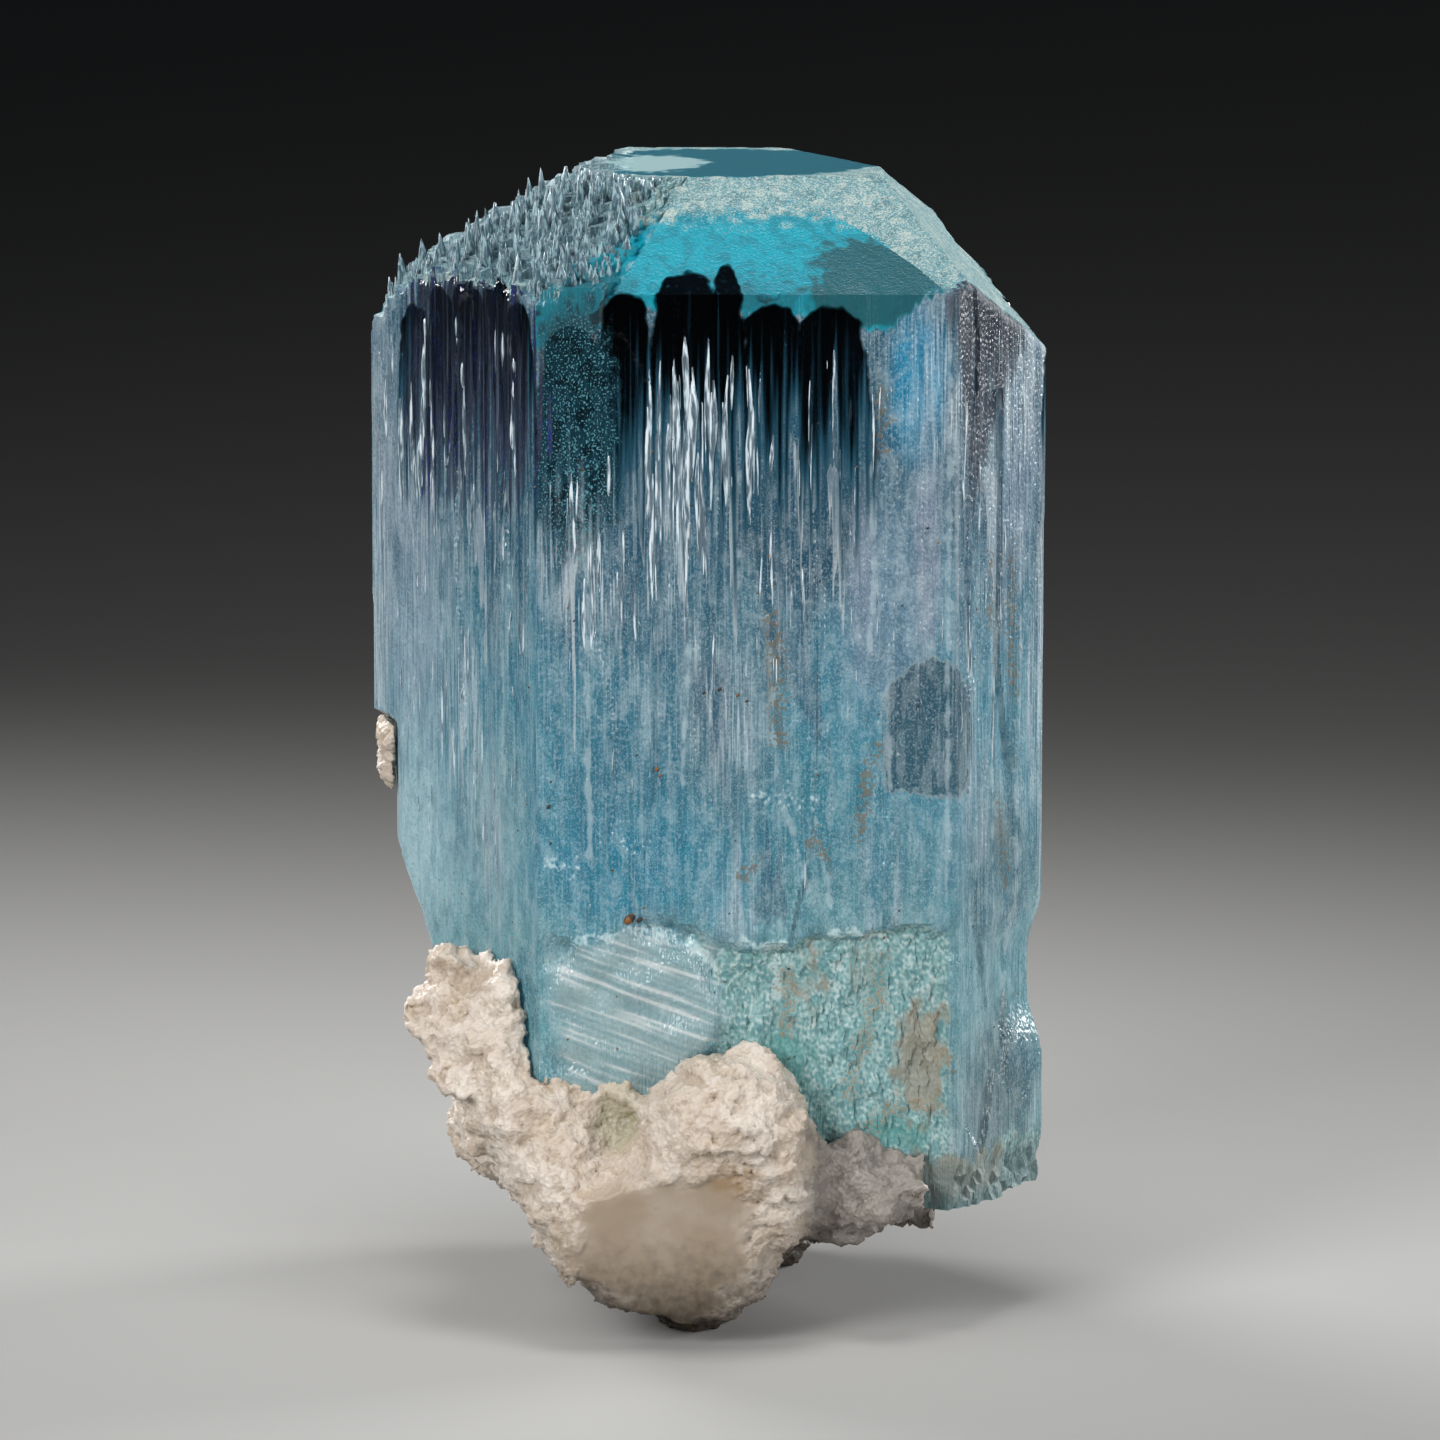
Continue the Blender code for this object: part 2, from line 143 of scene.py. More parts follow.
def cells(x, y, z):
    """(level, groove, tilt) of Voronoi cells. The level is even in each cell. The groove is
    the difference of the distances to the two nearest points, which is 0 on the border between
    cells. The tilt is a plane through the cell's point that leans its own way."""
    x, y, z = np.broadcast_arrays(x, y, z)
    i, j, k = np.floor(x), np.floor(y), np.floor(z)
    first = np.full(np.shape(x), 1e9)
    second = np.full(np.shape(x), 1e9)
    level = np.zeros(np.shape(x))
    tilt = np.zeros(np.shape(x))
    for di in (-1, 0, 1):
        for dj in (-1, 0, 1):
            for dk in (-1, 0, 1):
                a, b, c = i + di, j + dj, k + dk
                px = a + corner_value(a, b, c)
                py = b + corner_value(b + 17, c, a)
                pz = c + corner_value(c, a + 31, b)
                far = (x - px) ** 2 + (y - py) ** 2 + (z - pz) ** 2
                closer = far < first
                second = np.where(closer, first, np.minimum(second, far))
                first = np.where(closer, far, first)
                here = corner_value(a + 5, b + 9, c + 2)
                lean = (x - px) * (2 * here - 1) + (y - py) * (2 * corner_value(a, b + 3, c) - 1)
                lean = lean + (z - pz) * (2 * corner_value(a + 8, b, c) - 1)
                level = np.where(closer, here, level)
                tilt = np.where(closer, lean, tilt)
    return level, np.sqrt(second) - np.sqrt(first), tilt


print("noise at one place:", smooth_noise(0.3, 0.6, 0.9).round(3))

# %% [markdown]
# ## The crystal's outline
#
# A beryl prism has six sides that meet at 120 degrees, so its plan follows from one corner and
# the six widths. Its end has a flat face ringed by sloping ones. Instead of cutting a block with
# each plane, every point is found directly: a level ray runs out from the crystal's axis, and the
# nearest plane that it meets is the surface. That gives one grid that covers the whole crystal.

# %% The prism and its sloping faces
FIRST_EDGE = (-13.7, -18.0)
SIDE_WIDTHS = (37.4, 16.2, 31.86, 36.64, 16.96, 31.1)
AXIS = np.array((2.0, 2.5))
CRYSTAL_TOP = 103.3
CRYSTAL_FOOT = 11.4
BEVEL_FOOT = 85.0
LEDGE_HEIGHT = 52.4
SHOULDER_RIGHT = -7.0  # the etched shoulder lies left of this x
# Sloping faces: (compass direction, degrees that it leans back, a point on it).
BEVELS = (
    (-90, 60, (0.0, -18.0, 94.6)),
    (0, 44, (31.6, -4.0, 88.2)),
    (30, 60, (31.6, -4.0, 98.4)),
    (90, 60, (0.0, 23.3, 101.0)),
    (150, 60, (-29.2, 8.9, 94.6)),
    (180, 35, (-29.2, 8.9, 88.4)),
    (180, 61, (-25.5, 8.9, 93.0)),
    (180, 72, (-12.5, 8.9, 101.0)),
    (-150, 60, (-29.2, 8.9, 94.2)),
)
# Below its ledge the left flank is broken back to two faces, given in the same way.
FLANK_BREAKS = ((180, 0, (-27.2, 0.0, 45.0)), (180, -21, (-27.2, 0.0, 41.0)))

turns = np.radians(60 * np.arange(6))
steps = np.array(SIDE_WIDTHS)[:, None] * np.column_stack([np.cos(turns), np.sin(turns)])
EDGES = np.array(FIRST_EDGE) + np.vstack([[0, 0], np.cumsum(steps, axis=0)])
ROUND = np.concatenate([[0], np.cumsum(SIDE_WIDTHS)])  # distance round the prism at each edge
print("the prism's edges:", EDGES[:6].round(1).tolist(), "and its girth:", ROUND[-1].round(1))


def face_plane(compass, lean, point):
    """(outward normal, distance from the origin) of a face."""
    turn, back = math.radians(compass), math.radians(lean)
    level = math.cos(back)
    normal = np.array((math.cos(turn) * level, math.sin(turn) * level, math.sin(back)))
    return normal, float(normal @ np.array(point))


def reach(plane, way, height):
    """How far a level ray from AXIS travels before it meets the face."""
    normal, distance = plane
    facing = way @ normal[:2]
    ahead = distance - normal[2] * height - normal[:2] @ AXIS
    return np.where(facing > 1e-6, ahead / np.maximum(facing, 1e-6), 1e9)


SIDES = [face_plane(60 * n - 90, 0, (*edge, 0.0)) for n, edge in enumerate(EDGES[:6])]
SLOPES = [face_plane(*bevel) for bevel in BEVELS]
BREAKS = [face_plane(*fault) for fault in FLANK_BREAKS]


def on_outline(along):
    """The point of the prism's plan at a distance round it, measured from its first edge."""
    along = np.mod(along, ROUND[-1])
    x = np.interp(along, ROUND, EDGES[:, 0])
    y = np.interp(along, ROUND, EDGES[:, 1])
    return np.stack([x, y], axis=-1)


# %% [markdown]
# ## The etched relief
#
# Acid eats beryl along its length. It leaves fine upright ridges, and plates whose faces lie a
# few tenths of a millimetre above or below each other. On the left shoulder it left fins: the
# surface drops in small steps of uneven height. Low on the front it dug a rough hollow, with one
# round boss of fresh, ribbed fracture left standing.

# %% Ridges, plates, fins and the hollow
RIDGE_PITCH, RIDGE_DEPTH = 2.4, 0.42
PLATE_WIDTH, PLATE_LENGTH, PLATE_STEP = 5.0, 34.0, 0.75
CALM_WIDTH, CALM_SHARE = 5.0, 0.25  # near an edge of the prism the relief is weaker
HOLLOW_LEFT, HOLLOW_RIGHT, HOLLOW_TOP, HOLLOW_DEPTH = -12.6, 24.2, 36.6, 1.3
BOSS_CENTRE, BOSS_RADII, BOSS_HEIGHT = (-5.4, 29.4), (9.2, 9.6), 1.15
RIB_SOURCE, RIB_PITCH = (-60.0, 47.5), 0.9
NOTCH_HEIGHT, NOTCH_REACH, NOTCH_DEPTH = 31.0, 5.2, 1.3  # a bite in the right edge
FIN_STEPS, FINER_STEPS = (2.6, 1.5), (1.0, 0.5)  # height of a step and width of a fin
CHIP_DEPTH, FOOT_ROUGHNESS = 0.5, 0.9


def noise_at(across, up, wide, tall, seed):
    """Smooth noise on the unrolled side of the crystal, with features wide by tall mm."""
    return smooth_noise(across / wide + 7.3 * seed, 0 * across + seed + 0.5, up / tall)


def etched_relief(x, y, z):
    """How far the surface stands out: upright ridges, plates, and a fine grain that runs up
    the crystal. High on the broad front the acid left it nearly flat."""
    ridges = smooth_noise(x / RIDGE_PITCH, y / RIDGE_PITCH, z / 45)
    ridges = ridges + 0.5 * smooth_noise(x / 1.1 + 9, y / 1.1, z / 20)
    fine = smooth_noise(x / 0.55, y / 0.55 + 5, z / 9)
    bend = 1.2 * smooth_noise(x / 9, y / 9, z / 18)
    level = cells((x + bend) / PLATE_WIDTH, (y + bend) / PLATE_WIDTH, z / PLATE_LENGTH)[0]
    front = smooth_step(-16.5, -17.9, y)
    calm = 1 - front * (0.5 + 0.4 * smooth_step(62, 76, z))
    plates = PLATE_STEP * (0.3 - level) * calm
    return 0.6 * RIDGE_DEPTH * ridges * (0.4 + 0.6 * calm) + plates + 0.05 * fine


def hollow_rim(x):
    """Height of the hollow's upper rim: it rises and falls in scallops of uneven width."""
    rim = HOLLOW_TOP + 1.3 * smooth_noise(x / 3.1, 0 * x, 0 * x + 4.5)
    rim = rim + 1.6 * smooth_noise(x / 6.5, 0 * x, 0 * x + 8.5)
    return rim + 0.5 * smooth_noise(x / 0.9, 0 * x, 0 * x + 1.5)


def front_hollow(x, z):
    """(depth, share of rough ground, share of the boss) of the hollow low on the front."""
    rim = hollow_rim(x)
    wander = 1.1 * noise_at(0 * x, z, 1, 2.8, 3) + 0.4 * noise_at(0 * x, z, 1, 0.8, 5)
    inside = smooth_step(HOLLOW_LEFT - 1.2, HOLLOW_LEFT + 1.6, x + wander)
    inside = inside * smooth_step(HOLLOW_RIGHT + 0.6, HOLLOW_RIGHT - 0.6, x + wander)
    inside = inside * smooth_step(rim + 0.3, rim - 0.9, z)
    rough = 1 + 0.3 * noise_at(x, z, 2.3, 2.3, 2)
    along = (x - BOSS_CENTRE[0]) / BOSS_RADII[0]
    up = (z - BOSS_CENTRE[1]) / BOSS_RADII[1]
    uneven = 0.2 * noise_at(x, z, 3.3, 3.3, 1) + 0.08 * noise_at(x, z, 1.0, 1.0, 4)
    on_boss = smooth_step(1.06, 0.74, np.hypot(along, up) + uneven)
    boss = BOSS_HEIGHT * on_boss * (1 + 0.16 * boss_ribs(x, z))
    level, groove, _ = cells(x / 1.1, 0 * x + 0.5, z / 1.0)
    small = cells(x / 0.55 + 3, 0 * x + 0.5, z / 0.5)[0]
    crumbs = 0.34 * (level - 0.5) + 0.22 * (small - 0.5) + 0.1 * smooth_step(0.15, 0.0, groove)
    depth = inside * (HOLLOW_DEPTH * rough - boss) + inside * crumbs * (1 - on_boss)
    fresh = smooth_step(-2, 6, x + 3 * noise_at(x, z, 4, 4, 6))
    return depth, inside * (1 - on_boss) * (0.35 + 0.65 * fresh), inside * on_boss


def boss_ribs(x, z):
    """Ribs of a fresh fracture: noise across lines that fan out slowly from a far point."""
    away = np.hypot(x - RIB_SOURCE[0], z - RIB_SOURCE[1])
    swing = np.arctan2(z - RIB_SOURCE[1], x - RIB_SOURCE[0]) * 55.0
    return noise_at(away, swing, 9.0, RIB_PITCH, 8) + 0.6 * noise_at(away, swing, 5.0, 0.4, 9)


def fins(x, y, height, tall, pitch):
    """The height at which the slope is looked up: even within each step of a fin."""
    jitter = tall * corner_value(np.floor(x / pitch), np.floor(y / pitch), 3)
    return tall * (np.floor((height - jitter) / tall) + 0.5) + jitter


def crystal_surface(along, height):
    """Points of the crystal's side for a distance round it and a height, and the fields that
    its finish needs: how far the slopes lie inside the sides there, which is below 0 where they
    lie outside, and the shares of rough ground, of the boss and of the broken flank."""
    base = on_outline(along)
    x, y = base[..., 0], base[..., 1]
    way = base - AXIS
    way = way / np.linalg.norm(way, axis=-1)[..., None]
    stepped = np.clip(fins(x, y, height, *FIN_STEPS), BEVEL_FOOT, CRYSTAL_TOP)
    finer = np.clip(fins(x, y, height, *FINER_STEPS), BEVEL_FOOT, CRYSTAL_TOP)
    on_left = (x < SHOULDER_RIGHT) & (height > BEVEL_FOOT)
    looked_up = np.where(on_left, 0.55 * stepped + 0.45 * finer, height)

    upright = np.full(np.shape(height), 1e9)
    for plane in SIDES:
        upright = np.minimum(upright, reach(plane, way, height))
    slope = np.full(np.shape(height), 1e9)
    for plane in SLOPES:
        slope = np.minimum(slope, reach(plane, way, looked_up))
    out = np.minimum(upright, slope)
    set_in = upright - slope
    whole = out
    for plane in BREAKS:
        out = np.where(height < LEDGE_HEIGHT, np.minimum(out, reach(plane, way, height)), out)
    broken = smooth_step(0.1, 0.6, whole - out)

    to_edge = np.min([np.hypot(x - ex, y - ey) for ex, ey in EDGES[:6]], axis=0)
    calm = CALM_SHARE + (1 - CALM_SHARE) * smooth_step(0, CALM_WIDTH, to_edge)
    sloped = smooth_step(0.0, 1.5, set_in)
    out = out + etched_relief(x, y, height) * calm * (1 - 0.8 * sloped)
    chip = smooth_step(0.25, 0.8, smooth_noise(x / 1.7, y / 1.7, height / 1.5))
    out = out - CHIP_DEPTH * chip * smooth_step(CRYSTAL_TOP - 1.3, CRYSTAL_TOP - 0.2, height)
    level = cells(x / 1.3, y / 1.3, height / 1.1)[0]
    out = out - FOOT_ROUGHNESS * level * smooth_step(17.5, 14.0, height)
    on_front = y < EDGES[0][1] + 0.01
    depth, rough, lobe = front_hollow(x, height)
    out = out - np.where(on_front, depth, 0.0) / -way[..., 1].clip(-1, -0.5)
    bite = np.exp(-(((height - NOTCH_HEIGHT) / NOTCH_REACH) ** 4))
    out = out - NOTCH_DEPTH * bite * smooth_step(26, 31, x)
    plan = AXIS + out[..., None] * way
    points = np.concatenate([plan, height[..., None]], axis=-1)
    return points, set_in, np.where(on_front, rough, 0.0), np.where(on_front, lobe, 0.0), broken


print("the hollow:", round(HOLLOW_RIGHT - HOLLOW_LEFT, 1), "mm wide,", HOLLOW_DEPTH, "mm deep")

# %% [markdown]
# ## The crystal's mesh
#
# The grid has more rings where there is more to show: in the rough hollow and on the slopes.
# Its first ring follows the snapped lower end, and rings that shrink towards the axis close both
# ends. The prism's edges fall on grid lines, so they stay crisp, and edges between faces that
# meet at a clear angle are marked sharp, so that smooth shading doesn't blur them.

# %% A grid round the crystal
COLUMNS = (186, 78, 76, 84, 42, 130)  # on each side, more where a side faces the front
FRONT_BREAK = 94.6  # where the front slope starts: a ring there keeps that edge straight
RING_HEIGHTS = np.concatenate(
    [
        np.linspace(16.6, 38, 38),
        np.linspace(38.9, BEVEL_FOOT, 44),
        np.linspace(85.35, FRONT_BREAK, 29, endpoint=False),
        np.linspace(FRONT_BREAK, CRYSTAL_TOP, 29),
    ]
)
SHARP_FROM = 38.0  # degrees between two faces from which their edge is shaded as sharp
FOOT_RINGS = 8  # rings that follow the snapped lower end and level out above it
CLOSING_SHARES = (0.94, 0.8, 0.6, 0.35, 0.12)

along = np.concatenate(
    [np.linspace(a, b, n, endpoint=False) for a, b, n in zip(ROUND, ROUND[1:], COLUMNS)]
)
count = len(along)


def snapped_foot(x, y):
    """Height of the snapped lower end: it rises to the left and is uneven."""
    rise = 0.10 * np.clip(18 - x, 0, 30)
    return CRYSTAL_FOOT + rise + 0.8 * smooth_noise(x / 4.0, y / 4.0, 0 * x + 7.5)


plan = on_outline(along)
foot_ring = snapped_foot(plan[:, 0], plan[:, 1])
share = np.arange(FOOT_RINGS)[:, None] / FOOT_RINGS
near_foot = foot_ring + share * (RING_HEIGHTS[0] - foot_ring)
heights = np.vstack([near_foot, RING_HEIGHTS[:, None] + 0 * foot_ring])
rows, set_in, rough, lobe, broken = crystal_surface(np.broadcast_to(along, heights.shape), heights)


def closing_rings(ring, level):
    """Rings that shrink from the given one towards the axis, and the pole."""
    made = []
    for share in (*CLOSING_SHARES, 0.0):
        inner = AXIS + share * (ring[:, :2] - AXIS)
        made.append(np.column_stack([inner, level(inner[:, 0], inner[:, 1])]))
    return made


below = closing_rings(rows[0], snapped_foot)
above = closing_rings(rows[-1], lambda x, y: CRYSTAL_TOP + 0 * x)
stack = [*reversed(below[:-1]), *rows, *above[:-1]]
points = np.concatenate([*stack, below[-1][:1], above[-1][:1]])
low_x, high_x = (corner.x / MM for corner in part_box("aquamarine_crystal"))
points[:, 0] = points[:, 0].clip(low_x, high_x)

ring = np.arange(count)
after = (ring + 1) % count
start = np.arange(len(stack) - 1)[:, None] * count
quads = np.stack(
    [start + ring, start + after, start + count + after, start + count + ring], axis=-1
).reshape(-1, 4)
pole = len(stack) * count
top = pole - count
fan_low = np.column_stack([0 * ring + pole, after, ring])
fan_high = np.column_stack([0 * ring + pole + 1, top + ring, top + after])
faces = [*quads.tolist(), *fan_low.tolist(), *fan_high.tolist()]
crystal = mesh_object("etched_aquamarine", points, faces)
crystal.data.set_sharp_from_angle(angle=math.radians(SHARP_FROM))
triangles = 2 * len(quads) + 2 * count
print("the crystal:", len(stack), "rings of", count, "points,", triangles, "triangles")

# %% [markdown]
# ## Where the crystal is clear, milky or frosted
#
# Below its slopes the crystal is clear enough to look black against the dark behind it. These
# clear windows have round tops side by side, like arches, and fade into the milky body below.
# Each zone with a crisp border gets a field: the distance in millimetres to the border, above 0
# inside. The shader adds noise to a field and cuts it at 0, which draws a sharp, uneven border
# however coarse the grid is.

# %% Places on the crystal
side_of = np.searchsorted(ROUND, along, side="right") - 1
on_front = (side_of == 0) + 0 * heights
girth = along + 0 * heights
# On the front a place is its x. On the other sides it is the distance round the prism.
across = np.where(on_front > 0, rows[..., 0] - FIRST_EDGE[0], girth)
OUTSIDE = -50.0  # a field's value far from every zone


def round_distance(middle):
    """Distance round the prism from a place, the shorter way, positive to its right."""
    whole = ROUND[-1]
    return np.mod(across - middle + whole / 2, whole) - whole / 2


def arch_field(places, sag, spread, widens):
    """Distance inside the nearest arch (middle, half width, height of the top): the smaller of
    the distances to its sides and to its top, which sags towards the sides. Below its top an
    arch widens."""
    field = np.full(heights.shape, OUTSIDE)
    for middle, half, top_height in places:
        away = np.abs(round_distance(middle))
        crown = top_height - sag * (away / half) ** 2 - heights
        side = half + spread * np.clip(top_height - heights - 3, 0, widens) - away
        field = np.maximum(field, np.minimum(side, crown))
    return field


def patch_field(places):
    """Distance inside the nearest boxy ellipse, |u|^3 + |v|^3 = 1, where u and v are measured
    in its half width and half height: (middle, height, half width, half height)."""
    field = np.full(heights.shape, OUTSIDE)
    for middle, level, half, tall in places:
        wide, high = np.abs(round_distance(middle)) / half, np.abs(heights - level) / tall
        inside = 1 - np.cbrt(wide**3 + high**3)
        field = np.maximum(field, inside * min(half, tall))
    return field


def wedge_field(places):
    """Distance inside the nearest wedge: (place and height of its tip, place and height of the
    middle of its blunt end, half width there). Its sides meet at the tip."""
    field = np.full(heights.shape, OUTSIDE)
    for tip, tip_height, end, end_height, half in places:
        share = (heights - tip_height) / (end_height - tip_height)
        middle = round_distance(tip) - share * (end - tip)
        side = half * share - np.abs(middle)
        field = np.maximum(field, np.minimum(side, (1 - share) * abs(end_height - tip_height)))
    return field


def line_field(places):
    """Minus the distance to the nearest of some lines: (place and height of each end)."""
    field = np.full(heights.shape, OUTSIDE)
    for start, low, end, high in places:
        x, y = round_distance(start), heights - low
        run, rise = end - start, high - low
        share = np.clip((x * run + y * rise) / (run**2 + rise**2), 0, 1)
        field = np.maximum(field, -np.hypot(x - share * run, y - share * rise))
    return field


print("on the front:", int((side_of == 0).sum()), "of", count, "columns")

# %% [markdown]
# The zones themselves are tables of places, as each is where it is by chance of growth and acid.
# A formula could scatter them, but this crystal is known by where its windows and stains lie.

# %% Zones with crisp borders
# Places round the prism and heights in millimetres, in the order that each function above
# says. A block is an arch, and the patches are boxy ellipses.
ARCHES = (
    (3, 2.3, 91.8), (7.8, 2.1, 94.9), (13.2, 2.7, 96.3), (16.8, 1.2, 96.8), (20.9, 2.5, 93.8),
    (26, 2.9, 93.6), (57.5, 3.6, 92.5), (65, 4.2, 94), (73.5, 3.8, 93.2), (80.5, 2.8, 94.6),
    (90, 3.4, 96), (98, 4.4, 97.5), (107, 4, 96.6), (115.5, 3.6, 97.2), (126, 3.6, 92),
    (133.5, 3.2, 90.5), (147.2, 2.6, 91), (152.2, 2.4, 93.4), (157, 2.2, 94.4),
    (161.6, 2.4, 95.2), (166.6, 2.6, 93.6),
)
BLOCK = ((35.2, 4.4, 62.2),)
PATCHES = {
    "stain": (
        (21.0, 60.0, 0.8, 7.0),
        (30.2, 83.0, 0.5, 4.0),
        (29.0, 34.0, 1.6, 3.0),
        (34.5, 27.5, 2.4, 4.0),
        (46.6, 44.0, 2.0, 4.0),
    ),
    "green": ((30.6, 95.2, 6.6, 3.6),),
    "teal": ((1.5, 92.0, 7.5, 5.5), (20.0, 94.0, 5.0, 1.6)),
    "glitter": ((3.4, 82.0, 3.6, 11.5),),
    "violet": ((157.5, 84.5, 12.6, 11.0),),
    "beige": ((34.6, 25.5, 3.0, 5.6), (24.6, 33.0, 1.0, 2.4), (40.0, 14.5, 8.0, 2.6)),
    "emerald": ((31.6, 18.4, 3.6, 2.0), (22.0, 24.5, 2.6, 3.0)),
}
PALE_WEDGES = (
    (13.4, 67, 10.5, 82, 1.7), (9.6, 70, 9.2, 79, 1), (17.2, 70.5, 16.6, 84, 0.9),
    (23.6, 68.5, 23, 82, 0.8), (27, 66, 26.2, 79, 0.9), (3, 60, 2.6, 72, 0.8),
    (152.6, 69, 148, 79, 1.8), (160, 62, 158, 74, 1.2), (45.2, 62, 44, 78, 1),
)
DARK_WEDGES = (
    (23.4, 60, 23, 82, 6.4), (8, 66, 9, 80, 5), (29.7, 78, 28.6, 86, 0.6),
    (26.2, 52, 21.4, 66, 3), (17, 47, 15, 62, 2.4), (19.8, 50, 21, 38, 2.2),
    (144, 58, 143, 70, 1.2),
)
HAZE = ((39.6, 73.0, 45.0, 97.0, 9.0),)
SEAMS = (
    (31, 34.3, 27.7, 21.9), (29.5, 19.2, 32.6, 21), (32.6, 21, 36.4, 21.2), (36.6, 27.3, 37, 24),
    (37, 24, 35.4, 21.2), (21.1, 66.1, 21.5, 54.4), (18.4, 42.6, 19.3, 43.8),
    (24.6, 46.2, 25.9, 43.5), (30.4, 86, 30, 81), (46, 48, 47.6, 40), (47.6, 71, 48, 57),
    (44.6, 70, 44.4, 64), (30, 54, 28.4, 46), (22, 33, 22.4, 28),
)
LEDGES = (
    (19.3, 49.4, 24.4, 49), (3.4, 36.4, 9.1, 37.4), (9.1, 37.4, 13, 36.6), (13, 36.6, 16.4, 33.4),
    (18.6, 36.2, 22, 36), (26.4, 37.2, 31, 36.6), (21.2, 34, 21.4, 31), (26.6, 34, 26.8, 30),
    (1, 43.4, 3.4, 42.6),
)
CRACKS = (
    (29.6, 84, 29.9, 70), (29.9, 70, 29.4, 62), (20.4, 66, 21.2, 52), (21.2, 52, 24, 41),
    (36.6, 90, 36.4, 40), (12.2, 78, 13.4, 64), (13.4, 64, 12.8, 50), (4.2, 74, 4.6, 44),
    (17.4, 80, 17.9, 66), (24.6, 48, 26.4, 38), (31, 60, 31.4, 50), (146, 84, 146.4, 52),
    (153, 78, 152.6, 60), (163.4, 76, 163.8, 48), (158, 60, 158.6, 40), (44.6, 84, 44.9, 40),
    (49, 88, 49, 30),
)
# The turquoise band's lower border on the front: heights at places from left to right.
SEA_PLACES = (0, 5, 8, 20, 27, 31, 34.5, 37.4)
SEA_HEIGHTS = (89.6, 91, 93, 92.8, 91.6, 91, 94.2, 95.2)
sea_level = np.interp(across, SEA_PLACES, SEA_HEIGHTS)
sea = np.where((on_front > 0) & (heights < 97), heights - sea_level, set_in - 0.4)
left_of = rows[..., 0] < SHOULDER_RIGHT
right_of = smooth_step(-1, 1, rows[..., 0] - 22.8 + 1.3 * (heights - 94.6))
frost_level = np.where(on_front > 0, 100.2 - 0.62 * np.clip(-4.5 - rows[..., 0], 0, 10), 98.5)
frost_level = np.where((on_front < 1) & left_of, 89.5, frost_level)
frosted = heights - frost_level + 12 * right_of
block = arch_field(BLOCK, 3.6, 0.0, 1.0)
block = np.minimum(block, heights - 49.4 - 0.8 * noise_at(girth, heights, 1.5, 9, 5))
rough_foot = smooth_step(18, 15, heights + noise_at(girth, heights, 2, 2, 3))


def whole_field(of_rows, low, high):
    """A field for every point of the crystal, with even values on its closed ends."""
    ends = count * len(CLOSING_SHARES)
    return np.concatenate([np.full(ends, low), of_rows.ravel(), np.full(ends, high), [low, high]])


# Each field has its values on the rows, and one value each for the lower and the upper end.
FIELDS = {
    "window": (arch_field(ARCHES, 1.6, 0.16, 8), -5, -5),
    "sea": (sea, -5, 9),
    "frost": (frosted, -5, 3),
    "rough": (np.maximum(rough, rough_foot), 1, 0),
    "lobe": (lobe, 0, 0),
    "broken": (broken, 0, 0),
    "brink": (np.maximum(-np.abs(set_in), -5), -5, -5),
    "shoulder": (left_of * smooth_step(0.2, 1.2, set_in), 0, 0),
}
zones = {
    "block": block,
    "ledge": line_field(LEDGES),
    "seam": line_field(SEAMS),
    "crack": line_field(CRACKS),
    "pale": wedge_field(PALE_WEDGES),
    "dark": wedge_field(DARK_WEDGES),
    "haze": wedge_field(HAZE),
    **{name: patch_field(places) for name, places in PATCHES.items()},
}
FIELDS.update({name: (values, OUTSIDE, OUTSIDE) for name, values in zones.items()})
for name, (values, low, high) in FIELDS.items():
    give_field(crystal, name, whole_field(values, low, high))
print("fields:", [a.name for a in crystal.data.attributes if a.data_type == "FLOAT"])

# %% [markdown]
# ## Soft colours of the body
#
# Between the windows and the albite the colour drifts over centimetres: grey-blue under the
# windows, a pale lilac panel on the right, deep blue low in the middle. Such soft changes need
# no shader. Each point of the grid gets its colour here, by mixing a few colours with shares
# that come from its place and from broad noise, and the shader reads the result by name.

# %% Painting the body
def paint(colours, share, hex_colour):
    """Mixes a colour over an array of linear colours, by a share for each point."""
    share = np.clip(share, 0, 1)[..., None]
    return colours * (1 - share) + np.array(linear(hex_colour)[:3]) * share


def soft(middle, level, half, tall):
    """Share of a soft blob on the side of the crystal, with an uneven border."""
    wide, high = round_distance(middle) / half, (heights - level) / tall
    return smooth_step(1.15, 0.35, np.hypot(wide, high) + 0.3 * cloud)


cloud = noise_at(girth, heights, 6.5, 8, 1) + 0.5 * noise_at(girth, heights, 2.6, 3.4, 2)
cloud = 0.7 * cloud + 0.3 * noise_at(girth, heights, 0.9, 1.3, 3)
drift = heights + 7 * noise_at(girth, heights, 1.6, 22, 4) + 5 * cloud
streak = noise_at(girth, heights, 1.3, 16, 5) + 0.7 * noise_at(girth, heights, 0.55, 8, 6)
bundle = smooth_step(0.1, 0.6, noise_at(girth, heights, 4.5, 14, 7) + 0.3 * cloud)
strand = smooth_step(0.55, 0.9, 1 - 1.6 * np.abs(noise_at(girth, heights, 0.95, 15, 8)))

